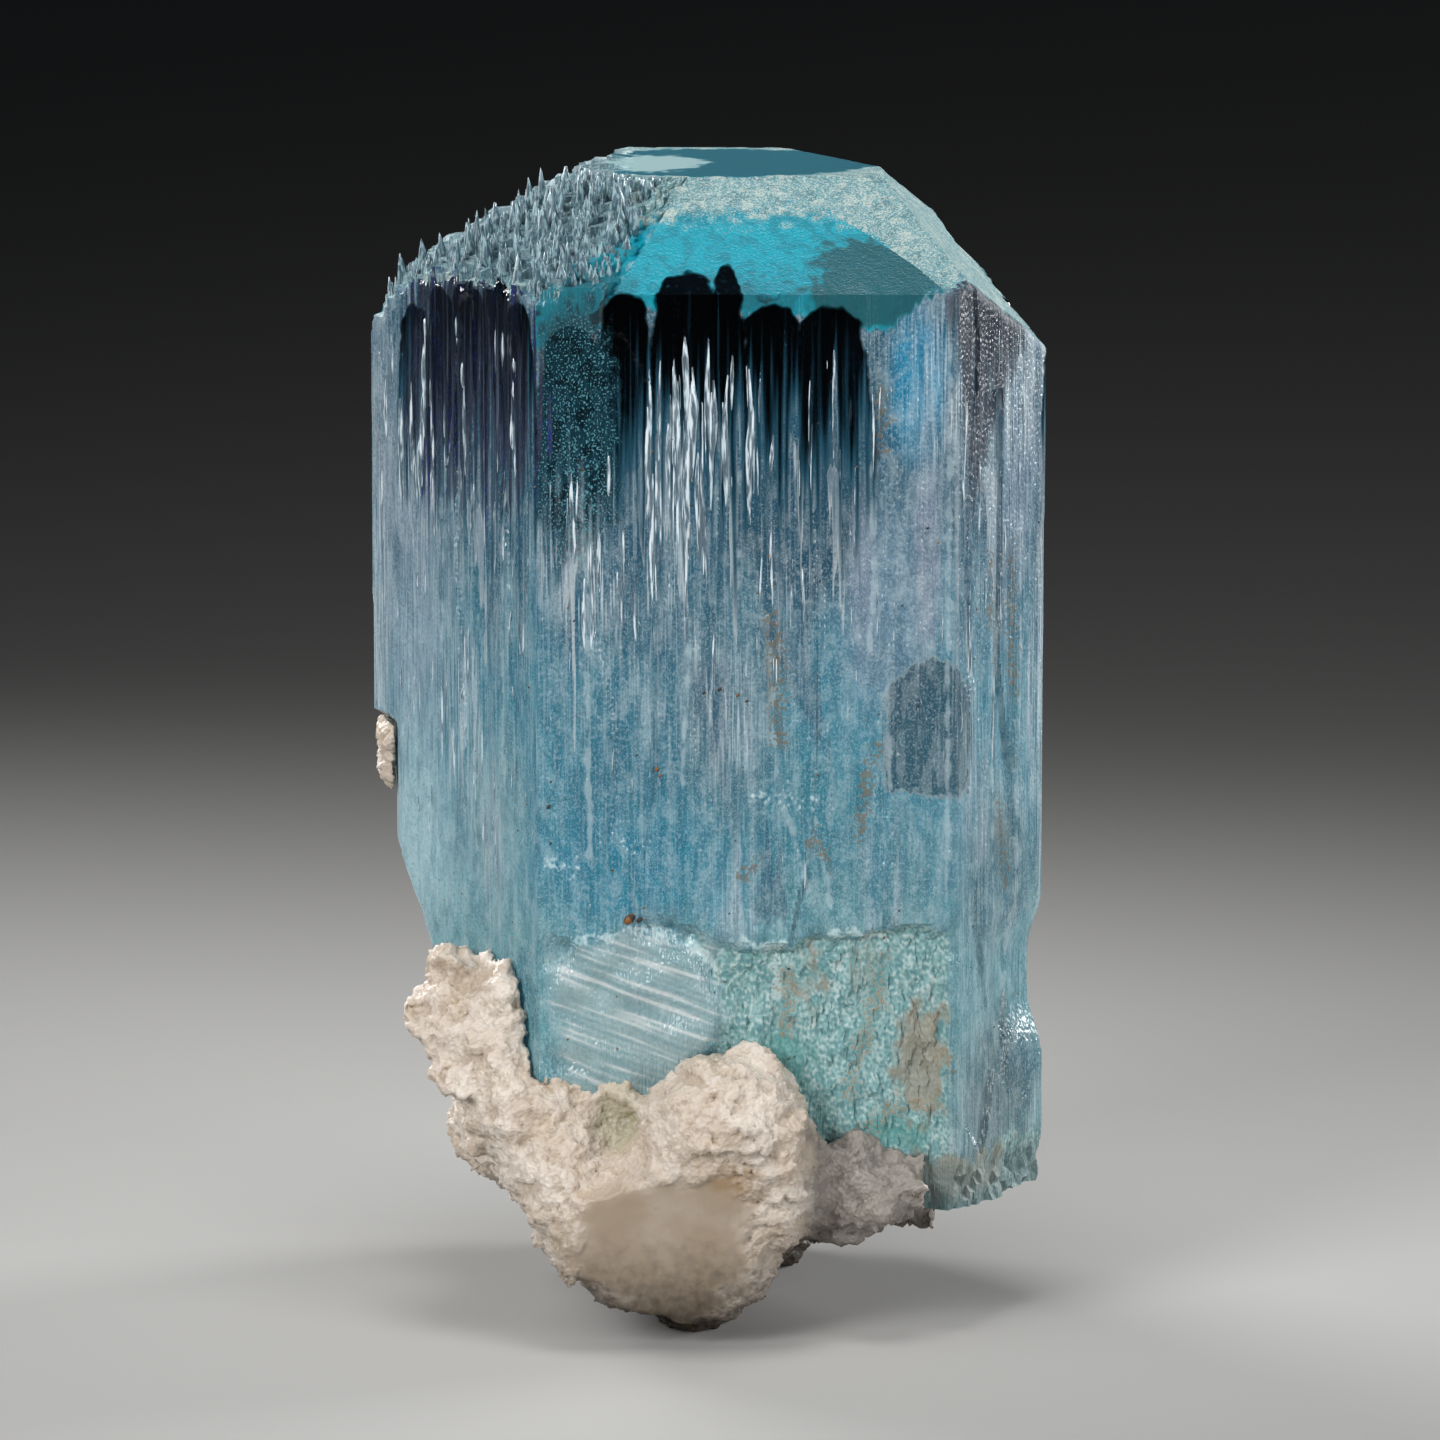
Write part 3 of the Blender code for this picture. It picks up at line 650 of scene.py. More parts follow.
panel = soft(30.6, 62, 7.0, 24)
comb = (0.4 + 0.6 * bundle) * (1 - 0.7 * panel) * (1 - 0.4 * smooth_step(60, 46, drift))
left_comb = 0.5 + 0.6 * bundle - 0.4 * smooth_step(54, 42, drift)
comb = np.where(girth > ROUND[5], left_comb, comb) * (1 - 0.75 * broken)
body = np.zeros((*heights.shape, 3)) + np.array(linear("#5AA8BE")[:3])
for share, tint in (
    (smooth_step(46, 36, drift), "#7DBAC2"),
    (0.8 * smooth_step(54, 64, drift), "#4F93AA"),
    (0.9 * smooth_step(62, 74, drift), "#3A6780"),
    (0.95 * soft(8.5, 43, 8, 8), "#2B97B4"),
    (0.8 * soft(23, 48, 9, 7), "#3F95A8"),
    (0.8 * soft(10, 56, 9, 9), "#3C869E"),
    (0.6 * soft(17, 58, 6, 12), "#7E979F"),
    (0.9 * soft(31.4, 67, 5.8, 12), "#8AABC1"),
    (0.95 * soft(23.5, 75, 7.0, 9), "#24414F"),
    (0.85 * soft(9.5, 67, 9.0, 7), "#2F6C84"),
    (0.5 * soft(28.8, 70, 1.4, 10), "#B4BED3"),
    (0.7 * soft(34.6, 72, 1.5, 12), "#B0BACE"),
    (0.95 * soft(33.8, 87, 3.2, 9), "#22ACDC"),
    (0.85 * soft(147, 62, 10, 14), "#AECCDC"),
    (0.8 * soft(146, 74, 6, 12), "#B4C8D8"),
    (0.9 * soft(146, 42, 12, 12), "#CCF4FC"),
    (0.8 * soft(161, 46, 8, 10), "#9CCAD2"),
    (0.9 * soft(48, 80, 5, 16), "#98B2C8"),
    (0.8 * soft(45, 42, 9, 14), "#5F858E"),
    (0.8 * soft(45, 22, 9, 10), "#4C6468"),
    (0.5 * soft(33, 44, 9, 6), "#6CA3B2"),
    # The next three rows are painted highlights: pale bands along edges of the prism where light
    # grazes them.
    (0.7 * soft(140.6, 72, 2.4, 24), "#BFCDD8"),
    (0.8 * soft(53.2, 66, 0.7, 34), "#D0DBE2"),
    (0.6 * soft(37.3, 66, 0.35, 26), "#C5D3DC"),
    (0.35 * smooth_step(0.2, 0.9, cloud), "#A8D6E2"),
    (0.4 * smooth_step(-0.1, -0.8, cloud), "#3C86A0"),
    (0.35 * comb * smooth_step(0.1, 0.9, streak), "#C2E0EA"),
    (0.55 * comb * smooth_step(-0.1, -0.9, streak), "#357A96"),
    (0.5 * bundle * strand, "#DCE8EF"),
    (0.55 * broken, "#BFD6D8"),
):
    body = paint(body, share, tint)
end_tint = linear("#8CB9C8")[:3]
channels = [whole_field(body[..., n], tint, tint) for n, tint in enumerate(end_tint)]
painted = np.column_stack([*channels, np.ones(len(points))])
attribute = crystal.data.attributes.new("body", "FLOAT_COLOR", "POINT")
attribute.data.foreach_set("color", painted.astype(np.float32).ravel())
give_field(crystal, "cloud", whole_field(0.5 + 0.4 * cloud, 0.5, 0.5))
give_field(crystal, "bundle", whole_field(bundle, 0, 0))
give_field(crystal, "comb", whole_field(comb, 0, 0))
print("body colour, mean linear:", painted[:, :3].mean(0).round(3))

# %% [markdown]
# ## Helpers for finishes
#
# A shader is a graph of nodes. One function adds a node, sets what stays fixed and links what
# varies. Another gives noise whose features have a real size in millimetres, because most of the
# patterns here are noise that is stretched one way or another. What is left multiplies shares,
# makes a border wander, and lays colours or numbers over each other row by row, so that a finish
# can be written as a table.

# %% Nodes
def plug(tree, node, inputs):
    """Sets each named input to a value, or links it to the output of another node."""
    for name, value in inputs.items():
        if isinstance(value, bpy.types.NodeSocket):
            tree.links.new(value, node.inputs[name])
        else:
            node.inputs[name].default_value = value


def add(tree, kind, inputs, out=0, **settings):
    """Adds a node with its settings and inputs, and returns one of its outputs."""
    node = tree.nodes.new("ShaderNode" + kind)
    for name, value in settings.items():
        setattr(node, name, value)
    plug(tree, node, inputs)
    return node.outputs[out]


def new_finish(name):
    """(material, its node tree, its Principled shader, the Object coordinates)"""
    material = bpy.data.materials.new(name)
    material.use_nodes = True
    tree = material.node_tree
    return material, tree, tree.nodes["Principled BSDF"], add(tree, "TexCoord", {}, "Object")


def grain(tree, place, size, detail=2.0, shift=0.0):
    """Noise from 0 to 1 with features of the given size in millimetres along x, y and z."""
    scale = [1 / (side * MM) for side in size]
    stretched = add(tree, "Mapping", {"Vector": place, "Scale": scale, "Location": [shift] * 3})
    return add(tree, "TexNoise", {"Vector": stretched, "Scale": 1.0, "Detail": detail})


def height_in_mm(tree, place):
    """The height of a point of the surface above the floor."""
    height = add(tree, "SeparateXYZ", {"Vector": place}, "Z")
    return add(tree, "Math", {0: height, 1: 1 / MM}, operation="MULTIPLY")


def share(tree, *parts):
    """The product of some parts. A part is a number, the output of a node, or a ramp: (value,
    low, high) goes smoothly from 0 at low to 1 at high, where low may be above high, and a
    fourth number takes the place of the 1."""
    result = None
    for part in parts:
        if isinstance(part, tuple):
            value, low, high, top = (*part, 1.0)[:4]
            ends = {"Value": value, "From Min": low, "From Max": high, "To Max": top}
            part = add(tree, "MapRange", ends, interpolation_type="SMOOTHSTEP")
        if result is None:
            result = part
        else:
            result = add(tree, "Math", {0: result, 1: part}, operation="MULTIPLY")
    return result


def moved(tree, value, *shifts):
    """A field whose level is shifted by noises, so that its border wanders by those amounts:
    each shift is (noise, amount in millimetres)."""
    for noise, amount in shifts:
        shift = add(tree, "Math", {0: noise, 1: 2 * amount, 2: -amount}, operation="MULTIPLY_ADD")
        value = add(tree, "Math", {0: value, 1: shift}, operation="ADD")
    return value


def layers(tree, first, over):
    """Colours laid over each other. Each row holds the parts of its share, then its colour."""
    for *parts, colour in over:
        colour = linear(colour) if isinstance(colour, str) else colour
        inputs = {0: share(tree, *parts), 6: first, 7: colour}
        first = add(tree, "Mix", inputs, 2, data_type="RGBA")
    return first


def levels(tree, first, over):
    """A number that takes other levels by shares, row by row as in layers."""
    for *parts, level in over:
        first = add(tree, "Mix", {0: share(tree, *parts), 2: first, 3: level}, data_type="FLOAT")
    return first


# %% [markdown]
# ## Etched beryl
#
# Clear beryl bends light a little more than window glass does, and aquamarine takes some of the
# red out of the light that crosses it. The shader says so with its IOR and with a volume that
# absorbs. Most of this crystal is milky from fine tubes and cracks, so less light crosses it
# there. Long patterns run up the crystal, as its growth and the acid did. Powder and specks are
# really finer than this. They are drawn at a size that still shows from a step away.

# %% Patterns in the beryl
BERYL_IOR = 1.577
ABSORPTION = 28.0  # per metre, of the red that aquamarine takes out of light
# A finish between glass and milk: cyan depth, long pale streaks and a wet gloss.
beryl, tree, shader, place = new_finish("etched aquamarine beryl")
field = {
    name: add(tree, "Attribute", {}, "Fac", attribute_name=name)
    for name in (*FIELDS, "cloud", "bundle", "comb")
}
body = add(tree, "Attribute", {}, "Color", attribute_name="body")
z_mm = height_in_mm(tree, place)
# Sizes in millimetres: across the crystal, across it, and up it.
lines = grain(tree, place, (0.32, 0.32, 10.0), 1.0)
tubes = grain(tree, place, (0.5, 0.5, 15.0), 0.0, 15.0)
hairs = grain(tree, place, (0.16, 0.16, 5.0), 0.0, 13.0)
blots = grain(tree, place, (1.4, 1.4, 1.8), 1.0, 7.0)
specks = grain(tree, place, (0.32, 0.32, 0.38), 0.0, 11.0)
shards = grain(tree, place, (1.2, 1.2, 5.0), 1.0, 21.0)
powder = grain(tree, place, (0.15, 0.15, 0.18), 0.0, 31.0)
# The fracture's ribs run down to the right, so this noise is turned before it is stretched.
RIB_SIZE, RIB_DIP = (9.0, 9.0, 0.5), 20
rib_scale = [side * MM for side in RIB_SIZE]
turned = {"Scale": rib_scale, "Rotation": (0, math.radians(RIB_DIP), 0)}
turned = add(tree, "Mapping", {"Vector": place, **turned}, vector_type="TEXTURE")
ribs = add(tree, "TexNoise", {"Vector": turned, "Scale": 1.0, "Detail": 0.0})
print("beryl: patterns in", len(tree.nodes), "nodes")

# %% [markdown]
# Each zone now gets a share from 0 to 1: its field is shifted by noise, which makes its border
# wander, and a ramp cuts it. The windows fade out downwards where the milky streaks begin.

# %% Where each finish lies
def oval(tree, place, centre, radii):
    """Distance from a centre in plan, measured in an ellipse's radii: 1 on its outline. The
    Mapping node scales the place, so the centre is taken off in the same measure."""
    scale = (1 / (radii[0] * MM), 1 / (radii[1] * MM), 0)
    back = (-centre[0] / radii[0], -centre[1] / radii[1], 0)
    inside = add(tree, "Mapping", {"Vector": place, "Location": back, "Scale": scale})
    return add(tree, "VectorMath", {"Vector": inside}, "Value", operation="LENGTH")


# Heights between which the windows fade into the body, and between which they turn fully clear.
WINDOW_FADE, CLEAR_FADE = (71.0, 82.0), (79.0, 90.0)
OVAL_CENTRE, OVAL_RADII = (2.3, 7.4), (14.5, 10.6)
# Where a pale oval on the flat top is painted as the reflection of a softbox.
REFLECTION_CENTRE, REFLECTION_RADII = (-3.6, 7.0), (4.8, 6.5)
z_ragged = moved(tree, z_mm, (tubes, 13.0), (lines, 9.0))
window = moved(tree, field["window"], (blots, 0.6))
inside_window = share(tree, (window, -0.2, 0.25), (z_ragged, *WINDOW_FADE))
deep = share(tree, (z_ragged, *CLEAR_FADE))
sea = share(tree, (moved(tree, field["sea"], (blots, 1.0), (tubes, 0.8)), -0.1, 0.5))
frost = moved(tree, field["frost"], (hairs, 1.4), (blots, 1.6))
frost = share(tree, sea, (frost, -0.4, 0.5))
violet = moved(tree, field["violet"], (tubes, 3.5))
violet = share(tree, (violet, -0.3, 0.8), (z_ragged, 71.0, 80.0))
haze = moved(tree, field["haze"], (lines, 3.0))
haze = share(tree, (haze, -0.3, 1.2), (z_ragged, 70.0, 84.0))
glitter = share(tree, (moved(tree, field["glitter"], (blots, 1.5)), -0.4, 0.6))
green = share(tree, (moved(tree, field["green"], (blots, 1.2), (shards, 1.2)), -0.4, 0.6))
teal = share(tree, (moved(tree, field["teal"], (blots, 3.0)), -0.4, 1.2))
rough = share(tree, (moved(tree, field["rough"], (blots, 0.6)), 0.3, 0.7))
emerald = moved(tree, field["emerald"], (blots, 2.4))
beige = moved(tree, field["beige"], (blots, 2.6))
ledge = share(tree, (moved(tree, field["ledge"], (blots, 0.7), (specks, 0.5)), -0.6, -0.1))
crack = share(tree, (moved(tree, field["crack"], (blots, 0.6)), -0.28, -0.02))
seam = share(tree, (moved(tree, field["seam"], (blots, 1.0), (specks, 1.2)), -0.6, -0.1))
stain = moved(tree, field["stain"], (tubes, 0.9))
stain = share(tree, (stain, -0.2, 1.0), (hairs, 0.40, 0.62, 0.75))
block = moved(tree, field["block"], (blots, 0.9), (specks, 0.4))
shadow = share(tree, (moved(tree, field["dark"], (lines, 1.6)), -0.2, 0.8, 0.65))
pale = moved(tree, field["pale"], (lines, 1.6))
brink = share(tree, (field["brink"], -1.2, -0.3))
# White tubes crowd together where the windows end, and thin out below.
crowd = share(tree, (z_ragged, 50.0, 70.0), (z_mm, 94.0, 84.0), field["bundle"])
white_tubes = share(tree, (tubes, 0.60, 0.72), crowd)
glints = share(tree, (hairs, 0.64, 0.76), crowd)
# The flat top is clear in an oval round the middle. A pale, frosted oval in it is a painted
# reflection of a softbox.
on_top = (z_mm, CRYSTAL_TOP - 0.12, CRYSTAL_TOP - 0.04)
clear_oval = moved(tree, oval(tree, place, OVAL_CENTRE, OVAL_RADII), (blots, 0.12))
crown = share(tree, on_top, (clear_oval, 1.02, 0.97))
reflection_oval = moved(tree, oval(tree, place, REFLECTION_CENTRE, REFLECTION_RADII), (blots, 0.35))
reflection_oval = share(tree, crown, (reflection_oval, 1.05, 0.9))
print("beryl: zones in", len(tree.nodes), "nodes")

# %% [markdown]
# The colour is a stack of layers, from the body outwards. Streaks, blots and powder are paler or
# deeper than the body under them, so they keep to its hue. The windows look black because little
# light comes back out of them: a dark colour stands in for that depth, as the floor here is pale.

# %% The colour of the beryl
dark = layers(tree, linear("#2F6076"), ((deep, "#090D11"),))
body = layers(tree, body, ((shadow, "#33607A"), ((block, -0.1, 0.2, 0.8), "#25495A")))
calm = levels(tree, 1.0, (((block, -0.1, 0.2), 0.3),))
combed = field["comb"]
mottled = share(tree, calm, (combed, 0.9, 0.3))
paler = layers(tree, body, ((0.6, "#DFF4FA"),))
deeper = layers(tree, body, ((0.62, "#105E7C"),))
colour = layers(
    tree,
    body,
    (
        ((lines, 0.49, 0.36), combed, 0.85, deeper),
        ((lines, 0.52, 0.66), combed, 0.75, paler),
        ((shards, 0.53, 0.57), field["cloud"], 0.6, paler),
        ((shards, 0.44, 0.40, 0.4), deeper),
        ((blots, 0.53, 0.66), mottled, 0.35, paler),
        ((blots, 0.47, 0.34), mottled, 0.35, deeper),
        (calm, (specks, 0.62, 0.72, 0.3), paler),
        (calm, (specks, 0.38, 0.28, 0.35), deeper),
        ((powder, 0.52, 0.70, 0.35), paler),
        ((powder, 0.48, 0.30, 0.35), deeper),
        ((hairs, 0.60, 0.72), combed, 0.9, paler),
        ((hairs, 0.40, 0.28), combed, 0.7, deeper),
        ((block, -0.1, 0.1), (block, 0.45, 0.15, 0.5), "#B8D0D6"),
        (crack, 0.7, paler),
        (field["broken"], (blots, 0.52, 0.60, 0.5), "#C9D2CE"),
        (haze, 0.9, "#394153"),
        (haze, (lines, 0.54, 0.68, 0.6), "#8F9DAE"),
        ((pale, -0.1, 0.6, 0.55), "#BFD2DE"),
        ((pale, -0.1, 0.1), (pale, 0.5, 0.2, 0.6), "#E4EEF2"),
        (white_tubes, 0.45, "#CBDDE6"),
        (glints, 0.4, "#E4EEF2"),
        (rough, 0.8, "#84A7A5"),
        (rough, (field["cloud"], 0.5, 0.3, 0.7), "#5F9496"),
        (rough, (blots, 0.52, 0.38, 0.6), "#5B9296"),
        (rough, (specks, 0.48, 0.34, 0.6), "#48777A"),
        (rough, (specks, 0.58, 0.72, 0.6), "#C2CFCB"),
        (rough, (emerald, -0.3, 1.2, 0.6), "#3B8C88"),
        (rough, (beige, -0.3, 1.2, 0.8), "#8E8878"),
        (field["lobe"], 0.65, "#B2C6C6"),
        (field["lobe"], (ribs, 0.54, 0.68, 0.9), "#E8EFEF"),
        (field["lobe"], (ribs, 0.48, 0.36, 0.5), "#7FA8B0"),
        (ledge, 0.55, "#C4D4D4"),
        (seam, (specks, 0.4, 0.6, 0.7), "#85755A"),
        ((z_mm, 18.0, 14.0, 0.7), "#56696A"),
        (sea, "#00C4DC"),
        (sea, (field["cloud"], 0.55, 0.25, 0.6), "#15889C"),
        (sea, (blots, 0.52, 0.38, 0.5), "#1290A6"),
        (sea, (specks, 0.58, 0.74, 0.25), "#5CCAD6"),
        (sea, (powder, 0.48, 0.30, 0.4), "#127F93"),
        (sea, teal, 0.7, "#1D7486"),
        (sea, teal, (blots, 0.44, 0.38, 0.9), "#10262E"),
        (sea, green, 0.9, "#1E6670"),
        (inside_window, (white_tubes, 0.6, 0.1), dark),
        (glitter, (z_ragged, 68.0, 80.0), 0.8, "#1F4856"),
        (glitter, (blots, 0.50, 0.38, 0.7), "#0A181E"),
        (glitter, (powder, 0.58, 0.70, 0.9), "#7CC4D2"),
        (violet, 0.9, "#3E4558"),
        (violet, (field["cloud"], 0.5, 0.7, 0.6), "#626B80"),
        (violet, (powder, 0.52, 0.70, 0.4), "#76829A"),
        (violet, (lines, 0.62, 0.72, 0.8), "#8C9BB4"),
        (violet, (tubes, 0.64, 0.70), (specks, 0.48, 0.6), "#434AA8"),
        (frost, 0.9, "#6E999F"),
        (frost, (shards, 0.48, 0.38, 0.8), "#417C87"),
        (frost, (blots, 0.54, 0.64, 0.8), "#A9BFBB"),
        (frost, (specks, 0.54, 0.68, 0.5), "#C9D2C9"),
        (frost, (powder, 0.52, 0.68, 0.6), "#C9D2C9"),
        (frost, (powder, 0.46, 0.32, 0.6), "#4A747B"),
        (frost, field["shoulder"], 0.7, "#35596A"),
        (frost, field["shoulder"], (lines, 0.52, 0.64, 0.6), "#9CBCC4"),
        (crown, "#34AAC4"),
        # painted reflection: a pale oval on the flat top
        (reflection_oval, "#A9CDD0"),
        (stain, 0.5, "#85755A"),
    ),
)
print("beryl: colour in", len(tree.nodes), "nodes")

# %% [markdown]
# How much light crosses the surface and how sharply it mirrors also change from zone to zone.
# The windows are the clearest and glossiest, and frosted and rough ground is nearly matt. Hairs
# and specks also tilt the surface a little, for relief that is finer than the mesh.

# %% How clear and how glossy the beryl is
clear = levels(
    tree,
    0.46,
    (
        (white_tubes, 0.3),
        (glints, 0.3),
        (rough, 0.12),
        (field["lobe"], 0.4),
        (ledge, 0.1),
        (sea, 0.5),
        (haze, 0.6),
        (violet, 0.65),
        (inside_window, levels(tree, 0.5, ((deep, 0.92),))),
        (glitter, 0.6),
        (frost, 0.2),
        (crown, 0.75),
        (reflection_oval, 0.3),
    ),
)
gloss = levels(
    tree,
    0.26,
    (
        ((field["cloud"], 0.4, 0.7, 0.6), 0.4),
        (brink, 0.6),
        (white_tubes, 0.3),
        (rough, 0.6),
        (sea, 0.35),
        (violet, 0.12),
        (inside_window, 0.06),
        (frost, 0.6),
        (crown, 0.42),
        (reflection_oval, 0.45),
    ),
)
relief = add(tree, "Math", {0: hairs, 1: specks}, operation="ADD")
strength = levels(tree, 0.55, ((sea, 0.2), (inside_window, 0.16), (crown, 0.06)))
bump = add(tree, "Bump", {"Height": relief, "Strength": strength, "Distance": 0.16 * MM})
plug(
    tree,
    shader,
    {
        "Base Color": colour,
        "Roughness": gloss,
        "Transmission Weight": clear,
        "Normal": bump,
        "IOR": BERYL_IOR,
    },
)
volume = tree.nodes.new("ShaderNodeVolumeAbsorption")
plug(tree, volume, {"Color": linear("#8FD3E4"), "Density": ABSORPTION})
tree.links.new(volume.outputs[0], tree.nodes["Material Output"].inputs["Volume"])
crystal.data.materials.append(beryl)
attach(crystal, "root")
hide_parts("aquamarine_crystal")
print("beryl:", len(tree.nodes), "nodes")

# %% [markdown]
# ## Etch tubes and teeth
#
# The acid followed faults along the crystal's length and left hollow tubes, thin as needles,
# which scatter light and look white. On the left shoulder it left upright teeth. Both are
# spindles: thin six-sided shapes with pointed ends. One function makes hundreds at once, as one
# array of points with an axis for the spindle, one for its rings and one for its sides.

# %% Spindles
RINGS, SIDES_EACH = 11, 6  # of each tube: few, as there are hundreds


def spindle_mesh(name, centre, tangent, outward, half_width, half_depth, widest, uneven):
    """Spindles round given centre lines: centre has the shape (spindles, rings, 3). A ring is
    an ellipse with half_width along the tangent and half_depth outward, and it shrinks to
    almost nothing at both ends: its size is t^a (1 - t)^b, scaled to 1 at its widest place,
    times noise that makes it uneven."""
    t = np.linspace(0.004, 0.996, centre.shape[1])
    a, b = widest / (1 - widest), 1.0
    size = t[None, :] ** a * (1 - t[None, :]) ** b
    size = (size / size.max(axis=1, keepdims=True)) ** 1.1
    which = np.arange(len(centre))[:, None]
    size = size * (1 + uneven * smooth_noise(which * 1.7, 4 * t[None, :], 0.5 + 0 * which))
    angle = 2 * np.pi * np.arange(SIDES_EACH) / SIDES_EACH
    wide = size[..., None] * half_width[:, None, None] * np.cos(angle)
    deep = size[..., None] * half_depth[:, None, None] * np.sin(angle)
    across = wide[..., None] * tangent[:, None, None] + deep[..., None] * outward[:, None, None]
    points = (centre[:, :, None] + across).reshape(-1, 3)
    number, rings = centre.shape[:2]
    start = (np.arange(number)[:, None, None] * rings + np.arange(rings - 1)[:, None]) * SIDES_EACH
    side = np.arange(SIDES_EACH)
    after = (side + 1) % SIDES_EACH
    corners = [start + side, start + after, start + SIDES_EACH + after, start + SIDES_EACH + side]
    quads = np.stack(corners, axis=-1).reshape(-1, 4)
    first = np.arange(number)[:, None] * rings * SIDES_EACH
    caps = np.concatenate([first + side[::-1], first + (rings - 1) * SIDES_EACH + side])
    faces = [*quads.tolist(), *caps.tolist()]
    print(name + ":", number, "spindles,", len(faces), "faces")
    return mesh_object(name, points, faces)


def on_side(where):
    """(tangent, outward) unit vectors of the prism's side at a distance round it."""
    turn = np.radians(60 * (np.searchsorted(ROUND, np.mod(where, ROUND[-1]), side="right") - 1))
    tangent = np.stack([np.cos(turn), np.sin(turn), 0 * turn], axis=-1)
    outward = np.stack([np.sin(turn), -np.cos(turn), 0 * turn], axis=-1)
    return tangent, outward


# Where tubes are dense: (number, from and to round the prism, lowest and highest top,
# shortest and longest, least and greatest width).
TUBE_FIELDS = (
    (20, 11, 30, 82, 93, 6, 20, 0.14, 0.42),
    (10, 6, 22, 78, 90, 10, 24, 0.4, 0.8),
    (8, 11.5, 15.8, 86, 92.5, 10, 20, 0.25, 0.75),
    (5, 143, 167, 78, 90, 6, 14, 0.5, 0.9),
    (40, 8, 31, 72, 92, 3, 16, 0.06, 0.18),
    (18, 1, 11, 70, 84, 4, 12, 0.16, 0.5),
    (10, 4, 24, 66, 80, 4, 14, 0.16, 0.5),
    (34, 141, 169, 74, 92, 3, 12, 0.12, 0.45),
    (24, 38, 53, 60, 93, 5, 18, 0.12, 0.4),
    (14, 1, 36, 42, 70, 3, 12, 0.08, 0.2),
    (60, 140, 169, 46, 86, 3, 14, 0.08, 0.28),
    (16, 9.5, 15.5, 84, 92, 8, 20, 0.15, 0.45),
    (20, 2, 26, 44, 72, 3, 12, 0.06, 0.16),
    (90, 54, 138, 40, 93, 4, 18, 0.2, 0.6),
)
chance = np.random.default_rng(20)
drawn = []
for number, start, end, low, high, short, long, thin, thick in TUBE_FIELDS:
    drawn.append(
        np.column_stack(
            [
                chance.uniform(start, end, number),
                chance.uniform(low, high, number),
                short + (long - short) * chance.uniform(0, 1, number) ** 1.3,
                chance.uniform(thin, thick, number),
            ]
        )
    )
where, top, length, width = np.concatenate(drawn).T


def tube_lines(where, top, length, depth):
    """Centre lines that follow the crystal's side at a depth below it."""
    t = np.linspace(0, 1, RINGS)
    level = top[:, None] - length[:, None] * (1 - t)
    drift = 0.35 * smooth_noise(where[:, None] * 3, level / 6, 0.5 + 0 * level)
    surface = crystal_surface(where[:, None] + drift, level)[0]
    return surface - depth[:, None, None] * on_side(where)[1][:, None]


centre = tube_lines(where, top, length, 0.1 + 0 * where)
tangent, outward = on_side(where)
half_depth = 0.3 * width + 0.1
etch_tubes = spindle_mesh("etch_tubes", centre, tangent, outward, width / 2, half_depth, 0.55, 0.6)

# More tubes hang free inside the stone, all round, and show dimly through it.
number = 420
where = chance.uniform(0, ROUND[-1], number)
top = chance.uniform(58, 92, number)
length = chance.uniform(5, 22, number)
width = chance.uniform(0.25, 0.9, number)
depth = chance.uniform(1.6, 9, number)
tangent, outward = on_side(where)
centre = tube_lines(where, top, length, depth)
half_depth = 0.4 * width
inner_tubes = spindle_mesh("inner_tubes", centre, tangent, outward, width / 2, half_depth, 0.5, 0.6)

# Teeth stand on the left shoulder only. Most are a millimetre or less, and a few are long.
number = 4200
where = np.mod(chance.uniform(140, 176, number), ROUND[-1])
level = chance.uniform(87, 102.5, number)
foot, inset = crystal_surface(where, level)[:2]
keep = (inset > 0.4) & (foot[:, 0] < -5 + 0.5 * (level - 99))
where, foot = where[keep], foot[keep]
number = len(where)
tangent, outward = on_side(where)
twist = chance.uniform(-0.6, 0.6, number)[:, None]
turned = np.cos(twist) * tangent + np.sin(twist) * outward
outward = np.cos(twist) * outward - np.sin(twist) * tangent
tangent = turned
size = 0.2 + 0.35 * chance.uniform(0, 1, number) + 1.3 * chance.uniform(0, 1, number) ** 14
LONGEST_TOOTH = 1.8 * size.max()
t = np.linspace(0, 1, 7)[None, :, None]
sway = chance.uniform(-0.35, 0.15, number)
rise = np.stack([sway * size, 0 * size, 1.8 * size], axis=-1)[:, None]
start = foot - 0.25 * outward - np.array((0, 0, 0.7))
centre = start[:, None] + t * (rise + np.array((0, 0, 0.7)))
centre[..., 2] = centre[..., 2].clip(None, CRYSTAL_TOP)
half_width, half_depth = 0.34 * size + 0.08, 0.2 * size + 0.06
etch_teeth = spindle_mesh("etch_teeth", centre, tangent, outward, half_width, half_depth, 0.3, 0.3)

# Tiny grains of iron oxide on the crystal's faces: (distance round, height, size), the largest
# where the boss meets the hollow's rim, then many smaller ones.
GRAINS = (
    (8.1, 38.4, 0.62), (9, 38.3, 0.34), (16.2, 59.2, 0.26), (14.8, 58.9, 0.2), (17.8, 58.7, 0.2),
    (18.6, 58.2, 0.16), (0.9, 48.6, 0.26), (10.9, 51.4, 0.22), (10.6, 52, 0.3), (32, 36.4, 0.2),
    (4, 79, 0.2),
)
number = 150
ranges = ((-24, 53), (20, 84), (0.05, 0.16))
small = np.transpose([chance.uniform(low, high, number) for low, high in ranges])
where, level, size = np.concatenate([GRAINS, small]).T
where = np.mod(where, ROUND[-1])
foot = crystal_surface(where, level)[0]
tangent, outward = on_side(where)
t = np.linspace(-1, 1, 5)[None, :, None]
centre = foot[:, None] + t * size[:, None, None] * np.array((0.4, 0, 0.9))
half_width, half_depth = 0.8 * size, 0.6 * size
iron_grains = spindle_mesh(
    "iron_grains", centre, tangent, outward, half_width, half_depth, 0.5, 0.5
)
print("longest tooth:", LONGEST_TOOTH.round(1), "mm")

# %% [markdown]
# A hollow tube is a wall of tiny facets, so it scatters light: white, a little see-through, and
# streaked along its length. The teeth are bluer, as their tips are solid beryl with a frosted
# skin. The grains are matt, dark brown with ochre patches, and give the eye a few warm points.

